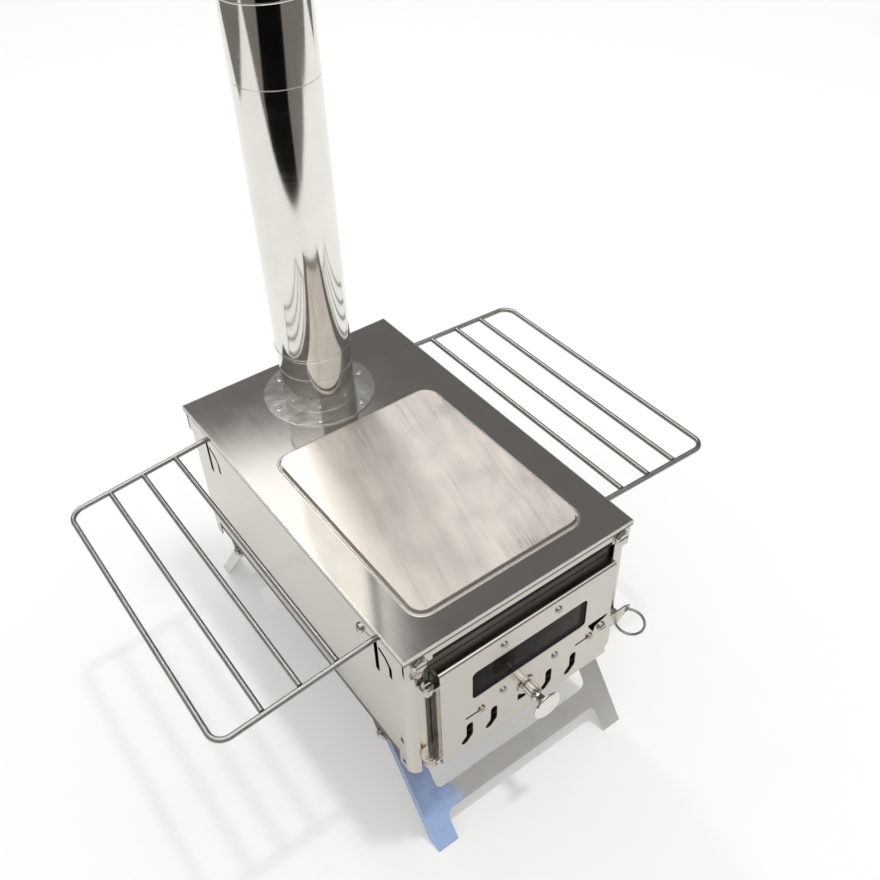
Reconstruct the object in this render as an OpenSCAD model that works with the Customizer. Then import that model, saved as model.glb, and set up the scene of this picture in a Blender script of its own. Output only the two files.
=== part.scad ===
// Portable wood stove for a tent: a folded stainless firebox on two folding leg frames,
// with a hinged glass door, an air shutter, a drop latch, two swing-up side racks
// and a flue pipe in stacked sections. Millimetres, +Z up, ground at z = 0.
// The footprint is centred on the origin and the door faces -Y.

/* [Firebox] */
// Width of the firebox over the top plate
body_w = 200; // [190:1:220]
// Depth of the firebox over the top plate
body_d = 318; // [306:1:340]
// Height of the top plate above the ground
body_top = 225; // [215:1:240]
// Thickness of the wall sheets
sheet_t = 1; // [0.8:0.1:1.1]
// Thickness of the top plate
top_t = 1.2; // [1:0.1:1.6]
// Depth of the turned-down rim of the top plate
rim_h = 4.5; // [3:0.5:5]
// Outer radius of the upright corner bends
corner_r = 8; // [6:0.5:9]
// Drop from the top to the lower edge of the side walls
side_drop = 125; // [120:1:130]
// Drop from the top to the lower end of the corner columns
corner_drop = 141; // [136:1:143]
// Width of a corner column along the side wall
corner_leg = 16; // [13:1:18]
// Drop from the top to the lower end of the flat corner ears
ear_drop = 24; // [22:1:26]
// Width of the relief slit beside each ear
notch_w = 2.2; // [1.5:0.1:3]

/* [Front opening] */
// Drop from the top to the upper edge of the door opening
opening_drop = 15; // [14:0.5:17]
// Width of the right front column, which the latch catches
catch_column_w = 13.8; // [13:0.2:15]
// Depth from the front face to the inner front wall
inner_gap = 4; // [3.5:0.25:5]
// Lap of the door over each side of the firebox mouth
mouth_lap = 11.5; // [10:0.5:18]
// Offset of the firebox mouth from the centre
mouth_x = 2; // [0:0.5:4]
// Drop from the top to the upper edge of the mouth
mouth_drop = 40; // [36:1:46]
// Sill of the mouth above the firebox floor
mouth_sill = 3; // [2:0.5:8]

/* [Floor and inside] */
// Height that the floor pan laps up inside the side walls
pan_lap = 5; // [3:0.5:8]
// Drop from the top to the lower edge of the floor pan flanges
pan_drop = 134; // [131:1:136]
// Depth of the rails that hang the pan at the front and back
pan_end_h = 8; // [6:1:10]
// Height of the fire grate above the floor
grate_h = 12; // [10:1:16]
// Width of the fire grate
grate_w = 156; // [130:2:170]
// Length of the fire grate
grate_d = 240; // [200:2:260]
// Number of slots across the grate
grate_slots = 13; // [8:1:16]
// Width of a grate slot
grate_slot_w = 6; // [4:0.5:8]
// Drop from the top to the smoke baffle
baffle_drop = 24; // [23:0.5:30]
// Height of the turned-down sides of the baffle
baffle_lip = 10; // [6:1:14]

/* [Hot plate] */
// Width of the raised hot plate
hot_w = 143; // [130:1:150]
// Gap between the hot plate and the flue flange
hot_back = 9; // [6:0.5:20]
// Distance from the front edge of the top to the hot plate
hot_front = 24; // [20:1:28]
// Height of the hot plate above the top
hot_h = 2.8; // [2:0.2:4]
// Corner radius of the hot plate
hot_r = 10; // [8:1:14]
// Gap between the hot plate and the bead pressed round it
bead_gap = 1.5; // [1:0.1:2]
// Width of the pressed bead
bead_w = 1.6; // [1:0.1:2]
// Height of the pressed bead
bead_h = 0.9; // [0.6:0.1:1.2]

/* [Flue] */
// Outer diameter of the flue pipe
pipe_od = 60; // [56:1:64]
// Wall of the flue pipe
pipe_t = 0.5; // [0.4:0.1:0.7]
// Length of one pipe section
pipe_len = 264; // [220:1:300]
// Length of the spigot that fits the next section
spigot_len = 52; // [40:1:60]
// Radial clearance where pipes slide together
pipe_fit = 0.08; // [0.05:0.01:0.1]
// Distance from the back edge of the top to the flue centre
flue_back = 53; // [50:1:60]
// Diameter of the flue flange
flange_d = 92; // [88:1:98]
// Thickness of the flue flange
flange_t = 1; // [0.8:0.1:1.5]
// Height of the pipe seat above the top plate
seat_h = 53; // [45:1:60]
// Number of rivets in the flue flange
rivet_count = 6; // [4:1:8]
// Radius of the rivet circle
rivet_circle_r = 38.8; // [37:0.2:40]

/* [Door] */
// Distance from the left edge of the top to the door
door_left_in = 23; // [22.5:0.25:26]
// Distance from the right edge of the top to the door
door_right_in = 18; // [17.5:0.25:20]
// Height of the door
door_h = 110; // [104:1:112]
// Drop from the top to the upper edge of the door
door_drop = 28; // [26:0.5:30]
// Distance that the door face stands in front of the firebox
door_proud = 7; // [6:0.5:8]
// Outer radius of the bends along the door
door_bend_r = 2.5; // [2:0.5:3]
// Distance from each side of the door to the window
window_side = 26.75; // [26:0.25:34]
// Height of the window
window_h = 30; // [24:1:32]
// Drop from the door's upper edge to the window
window_drop = 21; // [20:0.5:24]
// Corner radius of the window
window_r = 4; // [2:0.5:6]
// Thickness of the window glass
glass_t = 2; // [1.8:0.1:2.4]
// Distance between the two window screws of a row
window_screw_pitch = 49; // [44:1:56]

/* [Air shutter] */
// Travel of the air shutter
shutter_travel = 12; // [10:0.5:12.5]
// Width of an air vent
vent_w = 6; // [5:0.25:6.5]
// Height of an air vent
vent_h = 23; // [20:0.5:24]
// Sideways shift of the foot of a vent
vent_kick = 4.5; // [3:0.25:5]
// Drop from the door's upper edge to the vents
vent_drop = 78; // [77:0.5:80]
// Thickness of the shutter sheet
shutter_t = 0.8; // [0.6:0.1:0.9]

/* [Knob] */
// Diameter of the knob's disc
knob_d = 24; // [20:0.5:26]
// Length of the knob from the door face
knob_len = 24; // [20:0.5:28]
// Diameter of the fluted barrel
knob_barrel_d = 10.8; // [9:0.2:12]
// Diameter of the washer under the knob
knob_washer_d = 17; // [15:0.5:19]
// Number of flutes round the barrel
knob_flutes = 12; // [8:1:16]

/* [Latch] */
// Length of the latch lever from its pivot
lever_len = 32.3; // [31:0.1:33]
// Angle that the lever drops to lock the door
lever_drop_angle = 7; // [5:0.5:7]
// Radius of the pull ring to the middle of its wire
ring_r = 11.7; // [10.5:0.1:12]
// Wire diameter of the pull ring
ring_wire = 2.2; // [1.8:0.1:2.4]

/* [Hinge] */
// Distance from the door's edge to the hinge axis
hinge_out = 9.5; // [9:0.25:10]
// Distance of the hinge axis behind the door face
hinge_back = 1.8; // [1.5:0.1:2.5]
// Length of the hinge between its outer faces
hinge_h = 92; // [80:1:96]
// Thickness of the hinge sheets
hinge_t = 1.2; // [1:0.1:1.4]
// Radial clearance of the hinge and leg pivots
pivot_fit = 0.06; // [0.03:0.01:0.1]

/* [Side racks] */
// Reach of a rack from the side wall to its outer bar
rack_out = 116.8; // [100:1:125]
// Distance from the front and back edges of the top to the rack arms
rack_arm_in = 35.7; // [34:0.1:38]
// Wire diameter of the racks
rack_wire = 4.2; // [3.6:0.1:4.4]
// Corner radius of a rack
rack_r = 11; // [8:0.5:14]
// Distance between the bars of a rack
rack_pitch = 28; // [24:0.5:29]
// Number of bars between the wall and the outer bar
rack_bars = 3; // [2:1:3]
// Drop from the top to the rack arms at the wall
rack_drop = 13.5; // [13:0.1:15]
// Droop of the left rack
rack_droop_left = 5.6; // [1:0.1:6]
// Droop of the right rack
rack_droop_right = 2.6; // [1:0.1:6]

/* [Legs] */
// Splay of the legs from upright
leg_splay = 35.2; // [30:0.2:37]
// Distance from the front and back edges of the top to the leg pivots
leg_pivot_in = 45; // [39:1:47]
// Drop from the top to the leg pivots
leg_pivot_drop = 140; // [139:0.5:142]
// Thickness of the washer between a leg post and its ear
leg_washer_t = 1.5; // [1:0.1:3]
// Width of one post
post_w = 18.5; // [15:0.5:22]
// Depth of the posts' side flanges
leg_flange = 10; // [9:0.5:12]
// Thickness of the leg sheet
leg_t = 1.2; // [1:0.1:1.5]
// Gap between a leg's plate and the nuts of its pivots
leg_nut_gap = 0.3; // [0.2:0.1:1]
// Height of the crossbar above the foot, along the leg
crossbar_up = 25; // [20:1:35]
// Width of the crossbar
crossbar_h = 19; // [14:1:22]

/* [Hidden] */
$fn = 48;

// Colours of the metals and the glass
satin = "#cfcbc6";
brushed = "#dcd6d1";
mirror_steel = "#b9b3ad";
wire_steel = "#8f8c88";
screw_steel = "#a9a49e";
leg_steel = "#aeb1ba";
dark_glass = "#3a3833";
grate_steel = "#8a8580";

// Clearances shared by all pieces
over = 1;              // overrun of every cut
run_gap = 0.3;         // gap between sheets that move past each other
seat_gap = 0.2;        // gap under a piece that only rests in place
bolt_fit = 0.05;       // radial clearance of a fixed screw

// Screws: shank, head and nut sizes
m4 = 4;
m4_head_d = 8;
m4_head_h = 2.6;
m4_nut_d = 8;
m4_nut_h = 3;
m3 = 3;
m3_head_d = 6.4;
m3_head_h = 1.7;
m3_nut_d = 6.2;
m3_nut_h = 2.2;
m2 = 2;
m2_nut_d = 5;
m2_nut_h = 1.6;
corner_head_d = 12;
corner_head_h = 3.4;
hinge_head_d = 9.6;
head_rim_share = 0.55;     // height of a head's upright rim
head_crown_share = 0.72;   // diameter of a head's flat crown
slot_w_share = 0.16;       // width of a driver slot in head diameters
slot_h_share = 0.35;       // depth of a driver slot in head heights

// Planes of the firebox, measured from its own centre
top_z = body_top;
roof_z = top_z - top_t;
wall_x = body_w / 2 - top_t;
wall_y = body_d / 2 - top_t;
inner_x = wall_x - sheet_t;
side_z = top_z - side_drop;
corner_z = top_z - corner_drop;
ear_z = top_z - ear_drop;
bend_x = wall_x - corner_r;
bend_y = wall_y - corner_r;
opening_z = top_z - opening_drop;
catch_x = wall_x - catch_column_w;
inner_wall_y = inner_gap - wall_y;
floor_z = side_z + pan_lap;
pan_z = top_z - pan_drop;
mouth_z = floor_z + mouth_sill;
inner_r = 4;               // corner radius of the inner front wall
inner_flange = 10;         // depth of its welded side flanges

// Flue places
flue_y = body_d / 2 - flue_back;
hot_d = body_d - hot_front - flue_back - flange_d / 2 - hot_back;
spigot_r = pipe_od / 2 - pipe_t - pipe_fit;
collar_t = 0.8;
collar_bead = 0.85;        // reach of the seat bead beyond the collar
collar_bead_h = 3;
collar_tail = 6;           // collar below the roof
collar_line_h = 32.5;      // seam line round the collar
collar_line_w = 0.6;
collar_line_depth = 0.2;
pipe_z = top_z + seat_h + seat_gap;
pipe_pitch = pipe_len - spigot_len;
rivet_d = 3;
rivet_head_d = 5;
rivet_head_h = 1.5;
rivet_tail_h = 0.8;

// Door places
door_left = door_left_in - body_w / 2;
door_right = body_w / 2 - door_right_in;
door_w = door_right - door_left;
door_x = (door_left + door_right) / 2;
mouth_w = door_w - 2 * mouth_lap;
door_top = top_z - door_drop;
door_low = door_top - door_h;
door_y = -wall_y - door_proud;
door_depth = door_proud + inner_gap - run_gap;
window_offset = 0.25;      // window centre beside the door's centre
window_w = door_w - 2 * window_side;
window_x0 = door_x + window_offset - window_w / 2;
window_z1 = door_top - window_drop;
window_z0 = window_z1 - window_h;
glass_border = 6;
glass_y = door_y + sheet_t;
retainer_y = glass_y + glass_t;
retainer_border = 10;
retainer_low = 11;         // retainer below the window
window_screw_up = 10;      // screws above the window's upper edge
window_screw_down = 13.7;  // screws below its lower edge
retainer_tab_w = 12;
window_screw_x = [door_x - window_screw_pitch / 2, door_x + window_screw_pitch / 2];
window_screw_z = [window_z1 + window_screw_up, window_z0 - window_screw_down];

// Air vents: places as shares of the door's width from its left edge
vent_place_share = [0.153, 0.293, 0.622, 0.774];
vent_z = door_top - vent_drop;
vent_knee_share = 0.65;    // height of the bend in a vent
middle_vent_w = 8;
middle_vent_h = 7.5;
middle_vent_share = 0.459; // centre of the small middle vent across the door
middle_vent_drop = 84;
guide_share = [0.222, 0.8725];  // guide screws across the door
guide_drop = 70;
guide_z = door_top - guide_drop;
guide_end = 1.5;           // slot left over past the travel
guide_fit = 0.05;
shutter_left = 16;         // shutter edge inside the door's left edge
shutter_right = 17;        // shutter edge inside the door's right edge
shutter_drop = 75;
shutter_low = 105.5;
shutter_ear_w = 9;
shutter_ear_h = 4.4;       // ear above a guide screw
shutter_y = door_y + sheet_t + seat_gap;

// Knob places
knob_share = 0.4845;
knob_drop = 77;
knob_x = door_left + knob_share * door_w;
knob_z = door_top - knob_drop;
knob_washer_t = 1.2;
knob_neck_share = 0.72;    // neck diameter in barrel diameters
knob_disc_t = 1.6;
flute_d_share = 0.17;      // flute diameter in barrel diameters
knob_nut_gap = 2;          // clear of the nut in the shutter's notch

// Latch places
latch_pivot_in = 8.3;      // pivot inside the door's right edge
latch_pivot_drop = 67.3;
latch_x = door_right - latch_pivot_in;
latch_z = door_top - latch_pivot_drop;
lever_t = 1.2;
lever_y = door_y + sheet_t + seat_gap;
lever_hub_r = 5.5;
lever_h = 14.5;            // height of the lever plate
lever_up = 1.8;            // its upper edge above the pivot
lever_outline_share = [[0, 0.85], [0.3, 1], [0.85, 1], [1, 0.84], [1, 0.59], [0.63, 0],
    [0.41, 0], [0.37, 0.28], [0, 0.45]];
tab_in_share = 0.44;       // near edge of the catch tab along the lever
tab_w = 5;
tab_reach = 1.8;           // tab behind the column sheet
lip_h = 2.8;
catch_gap = 1.6;           // slit beyond the tab at each side
catch_up = 2.4;            // slit above the tab
catch_down = (tab_in_share * lever_len + tab_w) * sin(lever_drop_angle) + run_gap;
lever_neck_share = 0.7;    // height of the lever where it leaves the door
flange_slit_up = 0.9;
flange_slit_down = 1.8;
latch_window_share = [[0, 1], [1, 1], [1, 0.8], [0.41, 0.48], [0.33, 0], [0.1, 0.64]];
latch_window_w = 19.6;
latch_window_h = 12.6;
latch_window_right = 3.4;  // its right corner inside the door's edge
latch_window_drop = 55.4;
ring_hole_d = 4.6;
ring_hole_in = 3.5;        // hole centre inside the lever's tip
ring_hole_down = 5.4;      // hole centre below the lever's upper edge
ring_yaw = 34;
ring_lean = 28;            // ring leans forward, clear of the corner column

// Hinge places
hinge_x = door_left - hinge_out;
hinge_y = door_y + hinge_back;
hinge_drop = 33;
hinge_top = top_z - hinge_drop;
hinge_low = hinge_top - hinge_h;
hinge_r = hinge_x + bend_x - run_gap;
hinge_leaf_w = 6.5;
leaf_margin = 0.6;         // door leaf inside the depth of the flange

// Rack places
rack_axis_out = 3.6;       // swing axis outside the side wall
rack_axis_x = wall_x + rack_axis_out;
rack_z = top_z - rack_drop;
rack_arm_y = body_d / 2 - rack_arm_in;
rack_hook_up = 7.5;
bend_swell = 0.1;          // swelling of the wire at its tight bend
slot_side = 0.35;          // rack slot beyond the wire at each side
slot_drop = 48;
rack_first_share = 0.23;   // place of the first bar along the reach
hook_w = 3.6;              // width of the spare hook slots
hook_out = 5;              // hook slot's start beside the rack slot
hook_share = [[0, 0], [0.55, -0.25], [1, -0.75], [1, -1.6]];
hook_size = 11.5;
hook_drop = 19;
slit_w = 1.2;
slit_len = 7;
slit_drop = 17;
slit_in = 6;

// Stiffener and side screws
side_screw_in = 54;        // side screws behind the front edge of the top
side_screw_y = body_d / 2 - side_screw_in;
side_screw_drop = 20;
stiffener_w = 14;
stiffener_tab = 30;
stiffener_web = 10;
stiffener_t = 1.2;
baffle_gap = 8;            // baffle behind the stiffener under the top
baffle_back_in = 44;       // baffle in front of the rear face
baffle_front = side_screw_y - stiffener_w / 2 - baffle_gap;
baffle_back = body_d / 2 - baffle_back_in;
hole_w = 4;                // drain holes in the front columns
hole_y = 11;               // their distance behind the front face
hole_drop = [106, 133];

// Corner screws: distances inside the left and right edges
corner_screw_in = [12, 10.5];
corner_screw_x = [corner_screw_in[0] - body_w / 2, body_w / 2 - corner_screw_in[1]];
corner_screw_drop = 11;
corner_nut_d = 8;
lug_w = 6;                 // lug below the left ear
lug_h = 7;

// Leg places
leg_z = top_z - leg_pivot_drop;
leg_pivot_y = body_d / 2 - leg_pivot_in;
leg_pivot_r = 7;
leg_ear_r = 7;
leg_ear_w = 20;
leg_ear_t = sheet_t;
leg_corner_r = 6;
washer_d = 9;
leg_top = 3;               // plate above the pivot line
leg_face = m4_nut_d / 2 + leg_nut_gap + leg_t;
leg_w = 2 * (inner_x - leg_ear_t - leg_washer_t - run_gap);
leg_reach = (leg_z - leg_face * sin(leg_splay)) / cos(leg_splay) + 2 * leg_flange;
leg_foot = (leg_z + leg_face * sin(leg_splay)) / cos(leg_splay);
foot_y = leg_pivot_y + leg_foot * sin(leg_splay) + leg_face * cos(leg_splay);

// The front of the knob and the back feet lie equally far from the origin
body_y = (wall_y + door_proud + knob_len - foot_y) / 2;

// Moves a piece from the firebox's own centre to the part's origin
module placed() {
    translate([0, body_y, 0]) children();
}

// Upright sheet across the depth: outline in x and z, from y to y + t
module front_sheet(y, t) {
    translate([0, y + t, 0]) rotate([90, 0, 0]) linear_extrude(t) children();
}

// Upright sheet along the side: outline in y and z, from x to x + t
module side_sheet(x, t) {
    translate([x, 0, 0]) rotate([90, 0, 90]) linear_extrude(t) children();
}

// Level sheet: outline in x and y, from z to z + t
module level_sheet(z, t) {
    translate([0, 0, z]) linear_extrude(t) children();
}

module span(x0, x1, y0, y1) {
    translate([x0, y0]) square([x1 - x0, y1 - y0]);
}

module round_span(x0, x1, y0, y1, r) {
    span(x0 + r, x1 - r, y0, y1);
    span(x0, x1, y0 + r, y1 - r);
    for (x = [x0 + r, x1 - r]) {
        for (y = [y0 + r, y1 - r]) {
            translate([x, y]) circle(r = r);
        }
    }
}

// Slot with round ends from point a to point b
module run(a, b, w) {
    d = b - a;
    translate(a) rotate(atan2(d[1], d[0])) {
        translate([0, -w / 2]) square([norm(d), w]);
        circle(d = w);
        translate([norm(d), 0]) circle(d = w);
    }
}

// Domed screw head standing on z = 0, with a driver slot
module head(d, h) {
    difference() {
        rotate_extrude() polygon([
            [0, 0], [d / 2, 0], [d / 2, h * head_rim_share],
            [d / 2 * head_crown_share, h], [0, h]
        ]);
        translate([0, 0, h]) cube([d * head_crown_share, d * slot_w_share,
            2 * h * slot_h_share], center = true);
    }
}

// Screw with its head on z = 0 and its shank down to -len
module screw(d, len, head_d, head_h) {
    head(head_d, head_h);
    translate([0, 0, -len]) cylinder(d = d, h = len);
}

// Hexagon nut from z = 0 up, bored for its screw
module nut(d, h, bore) {
    difference() {
        cylinder(d = d, h = h, $fn = 6);
        translate([0, 0, -over]) cylinder(d = bore + 2 * bolt_fit, h = h + 2 * over);
    }
}

// Turns a piece drawn along +Z to face the front
module face_front(x, y, z) {
    translate([x, y, z]) rotate([90, 0, 0]) children();
}

// Top plate with its rim, the pressed bead and the flue hole
module top_plate() {
    color(satin) placed() difference() {
        union() {
            level_sheet(top_z - rim_h, rim_h)
                span(-body_w / 2, body_w / 2, -body_d / 2, body_d / 2);
            level_sheet(top_z, bead_h) difference() {
                hot_outline(bead_gap + bead_w);
                hot_outline(bead_gap);
            }
        }
        level_sheet(top_z - rim_h - over, rim_h - top_t + over)
            span(-wall_x, wall_x, -wall_y, wall_y);
        translate([0, flue_y, roof_z - over])
            cylinder(r = spigot_r + run_gap, h = top_t + 2 * over, $fn = 96);
        flue_rivet_places() translate([0, 0, -2 * top_t])
            cylinder(d = rivet_d + 2 * bolt_fit, h = 2 * top_t + over);
    }
}

module hot_outline(grow) {
    y0 = hot_front - body_d / 2;
    round_span(-hot_w / 2 - grow, hot_w / 2 + grow, y0 - grow, y0 + hot_d + grow, hot_r + grow);
}

module hot_plate() {
    color(brushed) placed() level_sheet(top_z, hot_h) hot_outline(0);
}

// Quarter of a bend, centred on its own axis; end is -1 at the front and 1 at the back
module corner_bend(end) {
    intersection() {
        difference() {
            circle(r = corner_r);
            circle(r = corner_r - sheet_t);
        }
        translate([0, end < 0 ? -corner_r : 0]) square([corner_r, corner_r]);
    }
}

// Right side wall with its bent columns; the left wall is its mirror image
module side_panel(front_lap) {
    difference() {
        union() {
            level_sheet(corner_z, ear_z - corner_z) {
                span(inner_x, wall_x, -bend_y, bend_y);
                translate([bend_x, -bend_y]) corner_bend(-1);
                translate([bend_x, bend_y]) corner_bend(1);
                if (front_lap > 0) {
                    span(bend_x - front_lap, bend_x, -wall_y, sheet_t - wall_y);
                }
            }
            level_sheet(ear_z, roof_z - ear_z) {
                flat_y = wall_y - sheet_t - notch_w;
                span(inner_x, wall_x, -flat_y, flat_y);
            }
        }
        side_sheet(inner_x - over, sheet_t + 2 * over) {
            span(corner_leg - wall_y, wall_y - corner_leg, corner_z - over, side_z);
            for (y = [-rack_arm_y, rack_arm_y]) {
                rack_slots(y);
            }
            run([-rack_arm_y + slit_in, top_z - slit_drop],
                [-rack_arm_y + slit_in + slit_len, top_z - slit_drop - slit_w], slit_w);
            translate([-side_screw_y, top_z - side_screw_drop])
                circle(d = m4 + 2 * bolt_fit);
            for (drop = hole_drop) {
                translate([hole_y - wall_y, top_z - drop]) run([0, -hole_w / 4],
                    [0, hole_w / 4], hole_w);
            }
        }
    }
}

// Slot that a rack arm hooks through, with the spare hook slot in front of it
module rack_slots(y) {
    w = rack_wire + 2 * slot_side;
    rise = (rack_axis_out + sheet_t) * tan(max(rack_droop_left, rack_droop_right));
    z1 = rack_z + rise + rack_wire / 2 + run_gap - w / 2;
    z0 = top_z - slot_drop + w / 2;
    run([y, z0], [y, z1], w);
    start = [y - hook_out, top_z - hook_drop];
    for (i = [1:len(hook_share) - 1]) {
        run(start + hook_at(i - 1), start + hook_at(i), hook_w);
    }
}

function hook_at(i) = [-hook_share[i][0] * hook_size, hook_share[i][1] * hook_size];

module left_side_panel() {
    color(satin) placed() mirror([1, 0, 0]) side_panel(0);
}

module right_side_panel() {
    color(satin) placed() difference() {
        side_panel(bend_x - catch_x);
        front_sheet(-wall_y - over, sheet_t + 2 * over) catch_slit();
    }
}

// Slit in the right column that the latch tab enters
module catch_slit() {
    x0 = latch_x + tab_in_share * lever_len - catch_gap;
    z1 = latch_z + lever_up;
    span(x0, x0 + tab_w + 2 * catch_gap, z1 - lever_t - catch_down, z1 + catch_up);
}

// Bar over the door opening, with the flat ears that carry the corner screws
module front_frame() {
    color(satin) placed() front_sheet(-wall_y, sheet_t) difference() {
        union() {
            span(-wall_x, wall_x, opening_z, roof_z);
            span(-wall_x, -bend_x, ear_z, opening_z);
            span(-bend_x, -bend_x + lug_w, ear_z - lug_h, opening_z);
            span(catch_x, wall_x, ear_z, opening_z);
        }
        for (x = corner_screw_x) {
            translate([x, top_z - corner_screw_drop]) circle(d = m4 + 2 * bolt_fit);
        }
    }
}

// Inner front wall with the firebox mouth and its welded side flanges; it reaches down
// to the door's lower edge, so that air comes in by the vents alone
module inner_front_wall() {
    low_z = door_low;
    color(satin) placed() difference() {
        level_sheet(low_z, roof_z - low_z) {
            span(inner_r - inner_x, inner_x - inner_r, inner_wall_y, inner_wall_y + sheet_t);
            for (side = [-1, 1]) {
                translate([side * (inner_x - inner_r), inner_wall_y + inner_r]) {
                    intersection() {
                        difference() {
                            circle(r = inner_r);
                            circle(r = inner_r - sheet_t);
                        }
                        translate([side < 0 ? -inner_r : 0, -inner_r])
                            square([inner_r, inner_r]);
                    }
                }
                x0 = side < 0 ? -inner_x : inner_x - sheet_t;
                span(x0, x0 + sheet_t, inner_wall_y + inner_r,
                    inner_wall_y + inner_r + inner_flange);
            }
        }
        front_sheet(inner_wall_y - over, sheet_t + 2 * over) {
            span(mouth_x - mouth_w / 2, mouth_x + mouth_w / 2, mouth_z, top_z - mouth_drop);
            for (x = corner_screw_x) {
                translate([x, top_z - corner_screw_drop]) circle(d = m4 + 2 * bolt_fit);
            }
        }
        level_sheet(low_z - over, floor_z - low_z + over) for (side = [-1, 1]) {
            x0 = side < 0 ? -inner_x - over : inner_x - sheet_t - inner_r;
            span(x0, x0 + sheet_t + inner_r + over, inner_wall_y + inner_r - over,
                inner_wall_y + inner_r + inner_flange + over);
        }
    }
}

// Rear wall between the rear corner bends, with flat ears at the top
module rear_panel() {
    color(satin) placed() front_sheet(wall_y - sheet_t, sheet_t) {
        span(-bend_x, bend_x, corner_z, roof_z);
        span(-wall_x, wall_x, ear_z, roof_z);
    }
}

// Floor pan: the floor, its welded side flanges and the ears that carry the legs
module bottom_pan() {
    y0 = inner_wall_y + sheet_t;
    y1 = wall_y - sheet_t;
    end_z = floor_z - pan_end_h;
    side_y0 = corner_leg - wall_y;
    color(satin) placed() difference() {
        union() {
            level_sheet(floor_z - sheet_t, sheet_t) {
                span(-inner_x, inner_x, inner_wall_y + inner_r + inner_flange, bend_y);
                span(-bend_x, bend_x, y0, y1);
            }
            for (y = [y0, y1 - sheet_t]) {
                front_sheet(y, sheet_t) span(-bend_x, bend_x, end_z, floor_z - sheet_t);
            }
            for (x = [-inner_x, inner_x - leg_ear_t]) {
                side_sheet(x, leg_ear_t) {
                    span(side_y0, -side_y0, pan_z, floor_z - sheet_t);
                    for (y = [-leg_pivot_y, leg_pivot_y]) {
                        leg_ear(y);
                    }
                }
            }
        }
        side_sheet(-wall_x, 2 * wall_x) for (y = [-leg_pivot_y, leg_pivot_y]) {
            translate([y, leg_z]) circle(d = m4 + 2 * bolt_fit);
        }
    }
}

// Ear below the pan flange: straight sides that end round the pivot
module leg_ear(y) {
    translate([y, leg_z]) circle(r = leg_ear_r);
    polygon([
        [y - leg_ear_w / 2, pan_z + over], [y - leg_ear_w / 2, pan_z],
        [y - leg_ear_r, leg_z], [y + leg_ear_r, leg_z],
        [y + leg_ear_w / 2, pan_z], [y + leg_ear_w / 2, pan_z + over]
    ]);
}

// Angle under the roof, screwed to both side walls
module top_stiffener() {
    y0 = -side_screw_y - stiffener_w / 2;
    color(satin) placed() difference() {
        union() {
            level_sheet(roof_z - stiffener_t, stiffener_t)
                span(-inner_x, inner_x, y0, y0 + stiffener_w);
            front_sheet(y0 + stiffener_w - stiffener_t, stiffener_t)
                span(-inner_x, inner_x, roof_z - stiffener_web, roof_z - stiffener_t);
            for (x = [-inner_x, inner_x - stiffener_t]) {
                side_sheet(x, stiffener_t)
                    span(y0, y0 + stiffener_w, roof_z - stiffener_tab, roof_z - stiffener_t);
            }
        }
        side_sheet(-wall_x, 2 * wall_x) translate([-side_screw_y, top_z - side_screw_drop])
            circle(d = m4 + 2 * bolt_fit);
    }
}

// Baffle that sends the smoke forward before it reaches the flue
module smoke_baffle() {
    z = top_z - baffle_drop;
    color(satin) placed() {
        level_sheet(z - sheet_t, sheet_t) span(-inner_x, inner_x, -baffle_front, baffle_back);
        for (x = [-inner_x, inner_x - sheet_t]) {
            side_sheet(x, sheet_t) span(-baffle_front, baffle_back, z - baffle_lip, z - sheet_t);
        }
    }
}

module corner_screws() {
    len = inner_gap + sheet_t + m4_nut_h + sheet_t;
    color(screw_steel) placed() for (x = corner_screw_x) {
        face_front(x, -wall_y, top_z - corner_screw_drop)
            screw(m4, len, corner_head_d, corner_head_h);
    }
}

module corner_screw_nuts() {
    color(screw_steel) placed() for (x = corner_screw_x) {
        face_front(x, inner_wall_y + sheet_t + m4_nut_h, top_z - corner_screw_drop)
            nut(corner_nut_d, m4_nut_h, m4);
    }
}

module side_screws() {
    len = sheet_t + stiffener_t + m4_nut_h + sheet_t;
    color(screw_steel) placed() for (side = [-1, 1]) {
        translate([side * wall_x, -side_screw_y, top_z - side_screw_drop])
            rotate([0, side * 90, 0]) screw(m4, len, m4_head_d, m4_head_h);
    }
}

module side_screw_nuts() {
    color(screw_steel) placed() for (side = [-1, 1]) {
        translate([side * (inner_x - stiffener_t - m4_nut_h), -side_screw_y,
            top_z - side_screw_drop])
            rotate([0, side * 90, 0]) nut(m4_nut_d, m4_nut_h, m4);
    }
}

// Flange and collar of the flue, with the bead that the pipe sits on
module flue_collar() {
    bead_r = spigot_r + collar_bead;
    bead_z = top_z + seat_h - collar_bead_h;
    line_z = top_z + collar_line_h;
    color(mirror_steel) placed() translate([0, flue_y, 0]) difference() {
        rotate_extrude($fn = 96) polygon([
            [spigot_r - collar_t, roof_z - collar_tail], [spigot_r, roof_z - collar_tail],
            [spigot_r, top_z], [flange_d / 2, top_z], [flange_d / 2, top_z + flange_t],
            [spigot_r, top_z + flange_t],
            [spigot_r, line_z], [spigot_r - collar_line_depth, line_z + collar_line_w / 2],
            [spigot_r, line_z + collar_line_w],
            [spigot_r, bead_z], [bead_r, bead_z + collar_bead],
            [bead_r, top_z + seat_h], [spigot_r, top_z + seat_h],
            [spigot_r, top_z + seat_h + spigot_len],
            [spigot_r - collar_t, top_z + seat_h + spigot_len]
        ]);
        translate([0, -flue_y, 0]) flue_rivet_places() translate([0, 0, -over])
            cylinder(d = rivet_d + 2 * bolt_fit, h = flange_t + 2 * over);
    }
}

// Rivet places on the flange, at the top plate's surface
module flue_rivet_places() {
    for (i = [0:rivet_count - 1]) {
        translate([0, flue_y, top_z]) rotate(i * 360 / rivet_count)
            translate([rivet_circle_r, 0, 0]) children();
    }
}

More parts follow.
